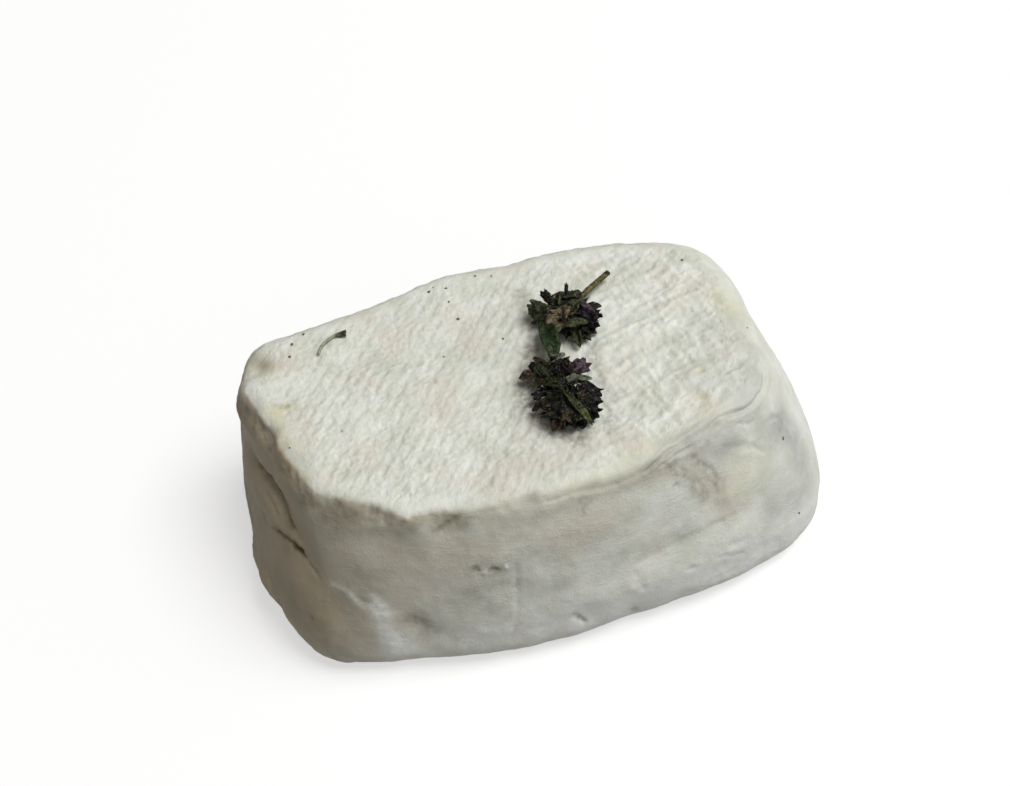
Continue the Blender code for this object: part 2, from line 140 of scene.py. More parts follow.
def leave_edit() -> None:
    """Go back to object mode."""
    bpy.ops.object.mode_set(mode="OBJECT")


def finish_with(piece: Object, kind: str, **settings: object) -> None:
    """Add a modifier to a piece and apply it.

    Args:
        piece: The mesh object.
        kind: The modifier's type.
        **settings: The modifier's settings.
    """
    only(piece)
    modifier = piece.modifiers.new(kind.lower(), kind)
    for name, value in settings.items():
        setattr(modifier, name, value)
    bpy.ops.object.modifier_apply(modifier=modifier.name)


def copy_of(master: Object, name: str) -> Object:
    """Copy a modelled master with a mesh of its own."""
    piece = master.copy()
    piece.data = master.data.copy()
    piece.name = name
    bpy.context.scene.collection.objects.link(piece)
    return piece


def join(pieces: Sequence[Object], name: str) -> Object:
    """Join pieces into one object.

    Args:
        pieces: The mesh objects, of which the first one stays.
        name: The joined object's name.

    Returns:
        The joined object.
    """
    only(pieces[0])
    for piece in pieces:
        piece.select_set(True)
    bpy.ops.object.join()
    joined = bpy.context.view_layer.objects.active
    joined.name = name
    return joined


def tint(piece: Object, code: str) -> None:
    """Give every vertex of a piece one colour, which its finish reads as "tint"."""
    layer = piece.data.attributes.new("tint", "FLOAT_COLOR", "POINT")
    layer.data.foreach_set("color", list(linear(code)) * len(piece.data.vertices))


def grade(piece: Object, pale: str, dark: str, darkness: Callable[[Vector], float]) -> None:
    """Grade a tinted piece from one colour to another.

    Args:
        piece: The piece.
        pale: Its colour where darkness gives 0.
        dark: Its colour where darkness gives 1.
        darkness: The dark colour's share at a vertex's place, in metres.
    """
    first, last = Vector(linear(pale)), Vector(linear(dark))
    colours = []
    for vertex in piece.data.vertices:
        colours.extend(first.lerp(last, darkness(vertex.co)))
    piece.data.attributes["tint"].data.foreach_set("color", colours)


def paint(piece: Object, name: str, values: Sequence[float]) -> None:
    """Store a value for every vertex of a piece as an attribute."""
    layer = piece.data.attributes.new(name, "FLOAT", "POINT")
    layer.data.foreach_set("value", values)


def aim(start: Vector, end: Vector, twist: float = 0.0) -> Matrix:
    """Turn and move a piece made along +Z from the origin so that it runs from start to end.

    Args:
        start: Where its origin goes.
        end: The point that its +Z then faces.
        twist: Its turn about its own axis, in radians.

    Returns:
        The matrix that does so.
    """
    turn = (end - start).to_track_quat("Z", "Y").to_matrix().to_4x4()
    return Matrix.Translation(start) @ turn @ Matrix.Rotation(twist, 4, "Z")


def add_node(
    tree: NodeTree,
    kind: str,
    settings: dict[str | int, object] | None = None,
    links: dict[str | int, NodeSocket] | None = None,
) -> Node:
    """Add a shader node with its settings and links.

    Args:
        tree: The node tree.
        kind: The node's type, without the "ShaderNode" that it starts with.
        settings: Values for its properties, or for its sockets by name or number.
        links: The sockets that feed its own, by name or number.

    Returns:
        The new node.
    """
    node = tree.nodes.new(f"ShaderNode{kind}")
    for name, value in (settings or {}).items():
        if isinstance(name, int) or (name in node.inputs and not hasattr(node, name)):
            node.inputs[name].default_value = value
        else:
            setattr(node, name, value)
    for name, source in (links or {}).items():
        tree.links.new(source, node.inputs[name])
    return node


def new_material(name: str, looks: dict[str, object]) -> tuple[Material, NodeTree, Node]:
    """Make a material.

    Args:
        name: Its name.
        looks: The values of its shader's sockets, by name.

    Returns:
        The material, its node tree and its shader.
    """
    material = bpy.data.materials.new(name)
    material.use_nodes = True
    shader = material.node_tree.nodes["Principled BSDF"]
    for socket, value in looks.items():
        shader.inputs[socket].default_value = value
    return material, material.node_tree, shader


# Finishes


class Tone(Enum):
    """A tone on the rind: its colour, the size in mm of its patches, and how patchy it is. Some are real
    stains, some also carry painted shade, and the bloom also carries painted light.
    """

    CREAM = ("#DEDCBC", 4.0, 0.4)
    DRY = ("#CBC4AE", 3.0, 0.3)
    # a thin brownish coat, also painted shade over the shaded left end and its shoulder
    BARE_AND_SHADE = ("#C2B399", 4.0, 0.1)
    # grey, mostly painted shade on the front corner, along the rim and just under it
    GREY_AND_SHADE = ("#B4B1A0", 3.5, 0.2)
    ASH = ("#B4B5AE", 3.0, 0.25)
    # painted shade: in hollows, creases and notches, along the shaded shoulder under the rim, and low in
    # the corners
    PAINTED_SHADE = ("#8F8675", 3.5, 0.3)
    # white bloom, also painted light low on the walls, along the top's back edge, and as highlights on
    # small bumps
    BLOOM = ("#F1F3ED", 2.5, 0.3)
    # specks, also the sprig's painted shadow on the top and painted shade in notches and grooves
    SPECKLED_AND_SHADOW = ("#8C8478", 1.2, 0.6)
    # brown marks; in creases, notches and dents it is mostly painted shade
    BROWN = ("#625331", 1.2, 0.25)

    @property
    def layer(self) -> str:
        """Name the attribute that says where the stain is."""
        return self.name.lower()


@dataclass(frozen=True)
class RindFinish:
    """Soft-ripened goat's-cheese rind: a moist paste under a thin dry coat of white mould.

    The coat is matt and slightly see-through, so light bleeds a little under it. It is cream
    where it has worn off, grey to brown where the paste has dried, and white where the bloom is
    thick. Grey, brown and dark tones also carry painted shade on the walls, under the rim and in
    creases, and white carries painted light low on the walls. Its furrows carry painted shade
    and its ridges a little painted light.

    Attributes:
        white: Its colour where the bloom is even.
        shade: Its colour between the white patches.
        blush: The warmer tint of its widest patches.
        mottle_mm: The size of the white patches.
        blush_mm: The size of the widest patches.
        fibres: The length, width and height of the fibres on the top, in mm.
        wrinkles: The same of the level wrinkles on the walls.
        wrinkle_patch_mm: The size of the patches that the wrinkles stand in.
        grain: The same of the grain all over.
        grain_patch_mm: The size of the patches where the grain is strong.
        lean: The fibres' turn from +X towards +Y, in degrees.
        furrow_shade: How light the painted shade in the furrows and the painted light on the ridges leave
            the colour, as shares of it.
        roughness: The shader's roughness.
        bleed_mm: How far light spreads under the coat.
    """

    white: str = "#EDEFE6"
    shade: str = "#DBDED0"
    blush: str = "#E3DDD0"
    mottle_mm: float = 5.0
    blush_mm: float = 9.0
    fibres: tuple[float, float, float] = (1.0, 0.38, 0.09)
    wrinkles: tuple[float, float, float] = (3.0, 0.4, 0.055)
    wrinkle_patch_mm: float = 7.0
    grain: tuple[float, float, float] = (0.40, 0.40, 0.085)
    grain_patch_mm: float = 2.2
    lean: float = 60.0
    furrow_shade: tuple[float, float] = (0.89, 1.04)
    roughness: float = 0.62
    bleed_mm: float = 0.7

    def material(self) -> Material:
        """Build the material."""
        looks = {
            "Roughness": self.roughness,
            "Specular IOR Level": 0.3,
            "Subsurface Weight": 0.2,
            "Subsurface Radius": (1.0, 0.75, 0.5),
            "Subsurface Scale": self.bleed_mm * MM,
        }
        material, tree, shader = new_material("bloomy_rind", looks)
        place = add_node(tree, "TexCoord").outputs["Object"]
        coats = [
            (self.white, self._patches(tree, place, self.mottle_mm, 0.0, 1.0)),
            (self.blush, self._patches(tree, place, self.blush_mm, -0.5, 0.6)),
        ]
        for tone in Tone:
            code, patch_mm, patchy = tone.value
            painted = add_node(tree, "Attribute", {"attribute_name": tone.layer})
            broken = self._patches(tree, place, patch_mm, 1 - patchy, 1 + patchy)
            share = add_node(
                tree,
                "Math",
                {"operation": "MULTIPLY", "use_clamp": True},
                {0: painted.outputs["Fac"], 1: broken},
            )
            coats.append((code, share.outputs[0]))
        colour = None
        for code, share in coats:
            colours = {"data_type": "RGBA", 6: linear(self.shade), 7: linear(code)}
            under = {} if colour is None else {6: colour}
            colour = add_node(tree, "Mix", colours, {0: share, **under}).outputs[2]
        tree.links.new(self._paint_furrow_shade(tree, colour), shader.inputs["Base Color"])
        tree.links.new(self._bumps(tree, place), shader.inputs["Normal"])
        return material

    def _patches(
        self,
        tree: NodeTree,
        place: NodeSocket,
        size: float,
        low: float,
        high: float,
    ) -> NodeSocket:
        """Make soft patches.

        Args:
            tree: The node tree.
            place: The coordinates.
            size: The patches' size in mm.
            low: The value between the patches.
            high: The value inside them.

        Returns:
            The patches' value.
        """
        cloud = add_node(
            tree,
            "TexNoise",
            {"Scale": 1 / (size * MM), "Detail": 3.0, "Roughness": 0.55},
            {"Vector": place},
        ).outputs["Fac"]
        return add_node(
            tree,
            "MapRange",
            {"From Min": 0.35, "From Max": 0.65, "To Min": low, "To Max": high},
            {"Value": cloud},
        ).outputs["Result"]

    def _paint_furrow_shade(self, tree: NodeTree, colour: NodeSocket) -> NodeSocket:
        """Paint shade into the rind's furrows and a little light onto its ridges."""
        relief = add_node(tree, "Attribute", {"attribute_name": RELIEF}).outputs["Fac"]
        light = add_node(
            tree,
            "MapRange",
            {"From Min": -0.18, "From Max": 0.12, "To Min": self.furrow_shade[0], "To Max": self.furrow_shade[1]},
            {"Value": relief},
        ).outputs["Result"]
        return add_node(
            tree,
            "Mix",
            {"data_type": "RGBA", "blend_type": "MULTIPLY", 0: 1.0},
            {6: colour, 7: light},
        ).outputs[2]

    def _bumps(self, tree: NodeTree, place: NodeSocket) -> NodeSocket:
        """Make the finest relief: fibres on the top, level wrinkles on the walls, and grain."""
        top = add_node(tree, "Attribute", {"attribute_name": TOP}).outputs["Fac"]
        wall = add_node(tree, "Math", {"operation": "SUBTRACT", 0: 1.0}, {1: top}).outputs[0]
        fibres = self._streaks(tree, place, self.fibres, False)
        wrinkles = add_node(
            tree,
            "MapRange",
            {"From Min": 0.52, "From Max": 0.74, "To Max": self.wrinkles[2] * MM},
            {"Value": self._streaks(tree, place, self.wrinkles, True)},
        ).outputs["Result"]
        wrinkles = add_node(
            tree,
            "Math",
            {"operation": "MULTIPLY"},
            {0: wrinkles, 1: self._patches(tree, place, self.wrinkle_patch_mm, 0.0, 1.0)},
        ).outputs[0]
        grain = self._streaks(tree, place, self.grain, False)
        broken = self._patches(tree, place, self.grain_patch_mm, 0.3, 1.3)
        height = None
        for layer, share in ((fibres, top), (wrinkles, wall), (grain, broken)):
            height = add_node(
                tree,
                "Math",
                {"operation": "MULTIPLY_ADD", 2: 0.0},
                {0: layer, 1: share} if height is None else {0: layer, 1: share, 2: height},
            ).outputs[0]
        return add_node(
            tree, "Bump", {"Strength": 1.0, "Distance": 1.0}, {"Height": height}
        ).outputs["Normal"]

    def _streaks(
        self,
        tree: NodeTree,
        place: NodeSocket,
        size: tuple[float, float, float],
        level: bool,
    ) -> NodeSocket:
        """Make streaks.

        Args:
            tree: The node tree.
            place: The coordinates.
            size: The streaks' length, width and height in mm.
            level: Whether they lie level on the walls, as plain values from 0 to 1. The others
                run along the print, as heights.

        Returns:
            The streaks' value.
        """
        length, width, rise = (value * MM for value in size)
        stretched = add_node(
            tree,
            "Mapping",
            {"vector_type": "TEXTURE", "Rotation": (0.0, 0.0, math.radians(self.lean)),
             "Scale": (length, length if level else width, width)},
            {"Vector": place},
        ).outputs["Vector"]
        streaks = add_node(
            tree,
            "TexNoise",
            {"Scale": 1.0, "Detail": 2.0, "Roughness": 0.55, "Distortion": 1.0 if level else 0.0},
            {"Vector": stretched},
        ).outputs["Fac"]
        if level:
            return streaks
        return add_node(tree, "Math", {"operation": "MULTIPLY", 1: rise}, {0: streaks}).outputs[0]


@dataclass(frozen=True)
class HerbFinish:
    """Dried thyme: shrivelled little leaves and papery flower cups.

    They are dull, blotched from nearly black to their own tint, and dusty in spots.
    """

    name: str = "dried_thyme"
    dust: str = "#86826C"
    dust_share: float = 0.6
    dust_mm: float = 0.45
    blotch_mm: float = 0.6
    blotch: tuple[float, float] = (0.15, 1.25)
    roughness: float = 0.6
    shine: float = 0.2

    def material(self) -> Material:
        """Build the material, which takes its colour from each vertex's tint."""
        looks = {"Roughness": self.roughness, "Specular IOR Level": self.shine}
        material, tree, shader = new_material(self.name, looks)
        place = add_node(tree, "TexCoord").outputs["Object"]
        tinted = add_node(tree, "Attribute", {"attribute_name": "tint"}).outputs["Color"]
        cloud, specks = (
            add_node(
                tree,
                "TexNoise",
                {"Scale": 1 / (size * MM), "Detail": 3.0, "Roughness": 0.6},
                {"Vector": place},
            ).outputs["Fac"]
            for size in (self.blotch_mm, self.dust_mm)
        )
        light = add_node(
            tree,
            "MapRange",
            {"From Min": 0.38, "From Max": 0.62, "To Min": self.blotch[0], "To Max": self.blotch[1]},
            {"Value": cloud},
        ).outputs["Result"]
        blotched = add_node(
            tree,
            "Mix",
            {"data_type": "RGBA", "blend_type": "MULTIPLY", 0: 1.0},
            {6: tinted, 7: light},
        ).outputs[2]
        dusted = add_node(
            tree,
            "MapRange",
            {"From Min": 0.58, "From Max": 0.70, "To Max": self.dust_share},
            {"Value": specks},
        ).outputs["Result"]
        colour = add_node(
            tree,
            "Mix",
            {"data_type": "RGBA", 7: linear(self.dust)},
            {0: dusted, 6: blotched},
        ).outputs[2]
        tree.links.new(colour, shader.inputs["Base Color"])
        bump = add_node(tree, "Bump", {"Strength": 0.6, "Distance": 0.06 * MM}, {"Height": cloud})
        tree.links.new(bump.outputs["Normal"], shader.inputs["Normal"])
        return material


@dataclass(frozen=True)
class FloorFinish:
    """White laminated board: plain and matt."""

    colour: str = "#BFBFBF"
    glow: float = 0.56

    def material(self) -> Material:
        """Build the material."""
        looks = {
            "Base Color": linear(self.colour),
            "Roughness": 0.9,
            "Specular IOR Level": 0.0,
            "Emission Color": (1.0, 1.0, 1.0, 1.0),
            "Emission Strength": self.glow,
        }
        return new_material("white_board", looks)[0]


# The cheese


@dataclass
class Fold:
    """A crease or a ridge in the rind. It wanders a little off its path.

    Attributes:
        path: The points that it runs through, in mm.
        width: Its half width in mm.
        depth: Its depth in mm. A negative depth stands proud.
        lip: How high its sides bulge, as a share of its depth.
        ends: How sharply it narrows towards its ends, 0 for not at all.
    """

    path: tuple[Point, ...]
    width: float
    depth: float
    lip: float = 0.0
    ends: float = 0.35
    spans: list[tuple[Vector, Vector, float, float]] = field(init=False)
    low: Vector = field(init=False)
    high: Vector = field(init=False)

    def __post_init__(self) -> None:
        """Keep the path as spans with their shares of it, and the box where the fold is felt."""
        line = [Vector(point) for point in self.path]
        total = sum((end - start).length for start, end in zip(line, line[1:])) or 1.0
        self.spans, share = [], 0.0
        for start, end in zip(line, line[1:] or line):
            part = (end - start).length / total
            self.spans.append((start, end, share, part))
            share += part
        reach = Vector((1.0, 1.0, 1.0)) * (2.5 + 3.5 * self.width)
        self.low = Vector([min(axis) for axis in zip(*self.path)]) - reach
        self.high = Vector([max(axis) for axis in zip(*self.path)]) + reach

    def felt(self, place: Vector, normal: Vector) -> tuple[float, float]:
        """Measure a place on the rind against the fold.

        Args:
            place: The place, in mm.
            normal: The rind's direction there. A path that runs a little under or over the
                rind counts as lying on it.

        Returns:
            Its distance from the fold's middle, as a share of the half width there, and how
            full the fold is there, from 0 to about 1. The distance is infinite where the fold
            can't be felt.
        """
        for axis in range(3):
            if not self.low[axis] < place[axis] < self.high[axis]:
                return math.inf, 0.0
        size = min(self.width, 2.5)
        moved = place + noise.noise_vector(place / 7.0) * 0.8
        moved += noise.noise_vector(place / (4.0 * size)) * (0.4 * size)
        nearest, share = math.inf, 0.5
        for start, end, first, part in self.spans:
            along = 0.5
            if part:
                along = min(max(intersect_point_line(moved, start, end)[1], 0.0), 1.0)
            distance = self._along(moved - start.lerp(end, along), normal)
            if distance < nearest:
                nearest, share = distance, first + part * along
        full = 1.0
        if len(self.path) > 1:
            full = max(4 * share * (1 - share), 0.02) ** self.ends
            full *= 1 + 0.3 * noise.noise(self.spans[0][0] + Vector((share * 9.0, 0.0, 0.0)))
        return nearest / (self.width * full), full

    def strength(self, place: Vector, normal: Vector) -> float:
        """Say how strongly the fold is felt at a place, from 1 in its middle to 0."""
        distance, _ = self.felt(place, normal)
        return bell(distance, 1.0) if distance < 3 else 0.0

    def height(self, place: Vector, normal: Vector) -> float:
        """Give what the fold adds to the rind's height at a place, in mm."""
        distance, full = self.felt(place, normal)
        if distance > 4:
            return 0.0
        return self.depth * full * (self.lip * bell(distance - 1.9, 1.1) - bell(distance, 1.0))

    @staticmethod
    def _along(offset: Vector, normal: Vector) -> float:
        """Measure an offset along the rind, or all of it where it is long."""
        if offset.length > 4.0:
            return offset.length
        return (offset - normal * offset.dot(normal)).length


@dataclass
class Stain(Fold):
    """A patch where the rind has another tone. Its depth is how strong the tone is.

    Attributes:
        tone: The tone.
        wall: Whether it stops at the rim, short of the top face.
        rim_height: The height above which it then fades, in mm.
        rim_slopes: How level the rind is where it starts to fade, and where it has gone.
    """

    ends: float = 0.0
    tone: Tone = Tone.CREAM
    wall: bool = False
    rim_height: float = 30.0
    rim_slopes: tuple[float, float] = (0.79, 0.90)

    def share(self, place: Vector, normal: Vector) -> float:
        """Say how much of the tone the stain adds at a place."""
        amount = self.depth * self.strength(place, normal)
        if self.wall and place.z > self.rim_height:
            amount *= 1 - smooth_step(*self.rim_slopes, normal.z)
        return amount


@dataclass
class MatPrint:
    """The print that a draining mat leaves: short grooves in slanting rows.

    On the left they are neat. On the right the curd has slumped, and coarse wrinkles that run
    every way cover them.

    Attributes:
        pitch: The distance between two rows, in mm.
        dash: The distance between two grooves of a row, in mm.
        lean: The rows' turn from +X towards +Y, in degrees.
        grooves: How deep the grooves are, in mm.
        neatest: The places where they are deepest, and how wide those are, in mm.
        strokes: How high the loose strokes between them stand, in mm.
        weave: How high the small knots that break them up stand, in mm.
        jumble: How high the coarse wrinkles on the right stand, in mm.
        pits: How deep the small pits are, in mm.
    """

    pitch: float = 2.28
    dash: float = 3.3
    lean: float = 61.0
    grooves: float = 0.20
    neatest: tuple[Point, ...] = ((-26.0, 7.0, 10.0), (-12.0, -17.0, 11.0), (-2.0, 19.0, 8.0))
    strokes: float = 0.09
    weave: float = 0.12
    jumble: float = 0.24
    pits: float = 0.12

    def height_at(self, place: Vector) -> float:
        """Give the print's height at a place on the top face, in mm."""
        loose = smooth_step(4.0, 20.0, place.x)
        calm = smooth_step(-45.0, -35.0, place.x)
        moved = place + noise.noise_vector(place / 6.0) * (0.35 + 0.7 * loose)
        patch = noise.noise(place / 7.0 + Vector((2.3, 0.7, 0.0)))
        for x, y, size in self.neatest:
            patch += 0.22 * bell(math.hypot(place.x - x, place.y - y), size)
        patch = 0.4 + 0.6 * smooth_step(-0.15, 0.3, patch)
        height = -self.grooves * self._groove(moved) * patch * (1 - 0.6 * loose)
        height += self.strokes * (1 - 0.4 * loose) * stroke(moved, self.lean, 1.7, 0.85, 1.7)
        height += self.weave * (1 - 0.4 * loose) * noise.noise(moved / 0.75 + Vector((0.0, 5.0, 8.0)))
        coarse = stroke(moved, 27.0, 3.6, 1.25, 4.4) + 0.9 * stroke(moved, 112.0, 2.8, 1.15, 7.9)
        height += self.jumble * loose * coarse
        deep = smooth_step(0.36, 0.56, noise.noise(place / 1.1 + Vector((0.0, 6.0, 3.0))))
        return height * (0.25 + 0.75 * calm) - self.pits * deep

    def _groove(self, place: Vector) -> float:
        """Say how deep in a groove a place is, from 0 to about 1."""
        lean = math.radians(self.lean)
        across = (place.x * math.sin(lean) - place.y * math.cos(lean)) / self.pitch
        row = math.floor(across)
        along = (place.x * math.cos(lean) + place.y * math.sin(lean)) / self.dash + 0.37 * row
        along += 0.5 * noise.noise(Vector((row * 7.3, along * 0.8, 0.0)))
        number = math.floor(along)
        dash = 1 - abs(2 * (along - number) - 1) ** 2.5
        full = 0.75 + 0.7 * noise.noise(Vector((row * 3.7, number * 5.3, 2.0)))
        return bell(across - row - 0.5, 0.21) * dash * full


def stroke(place: Vector, lean: float, length: float, width: float, seed: float) -> float:
    """Give the height of random strokes that all run one way on the top.

    Args:
        place: The place, in mm.
        lean: The strokes' turn from +X towards +Y, in degrees.
        length: Their length in mm.
        width: Their width in mm.
        seed: A number that picks one set of strokes.

    Returns:
        The height, mostly between -0.5 and 0.5.
    """
    turn = math.radians(lean)
    along = place.x * math.cos(turn) + place.y * math.sin(turn)
    across = place.y * math.cos(turn) - place.x * math.sin(turn)
    return noise.noise(Vector((along / length, across / width, seed)))


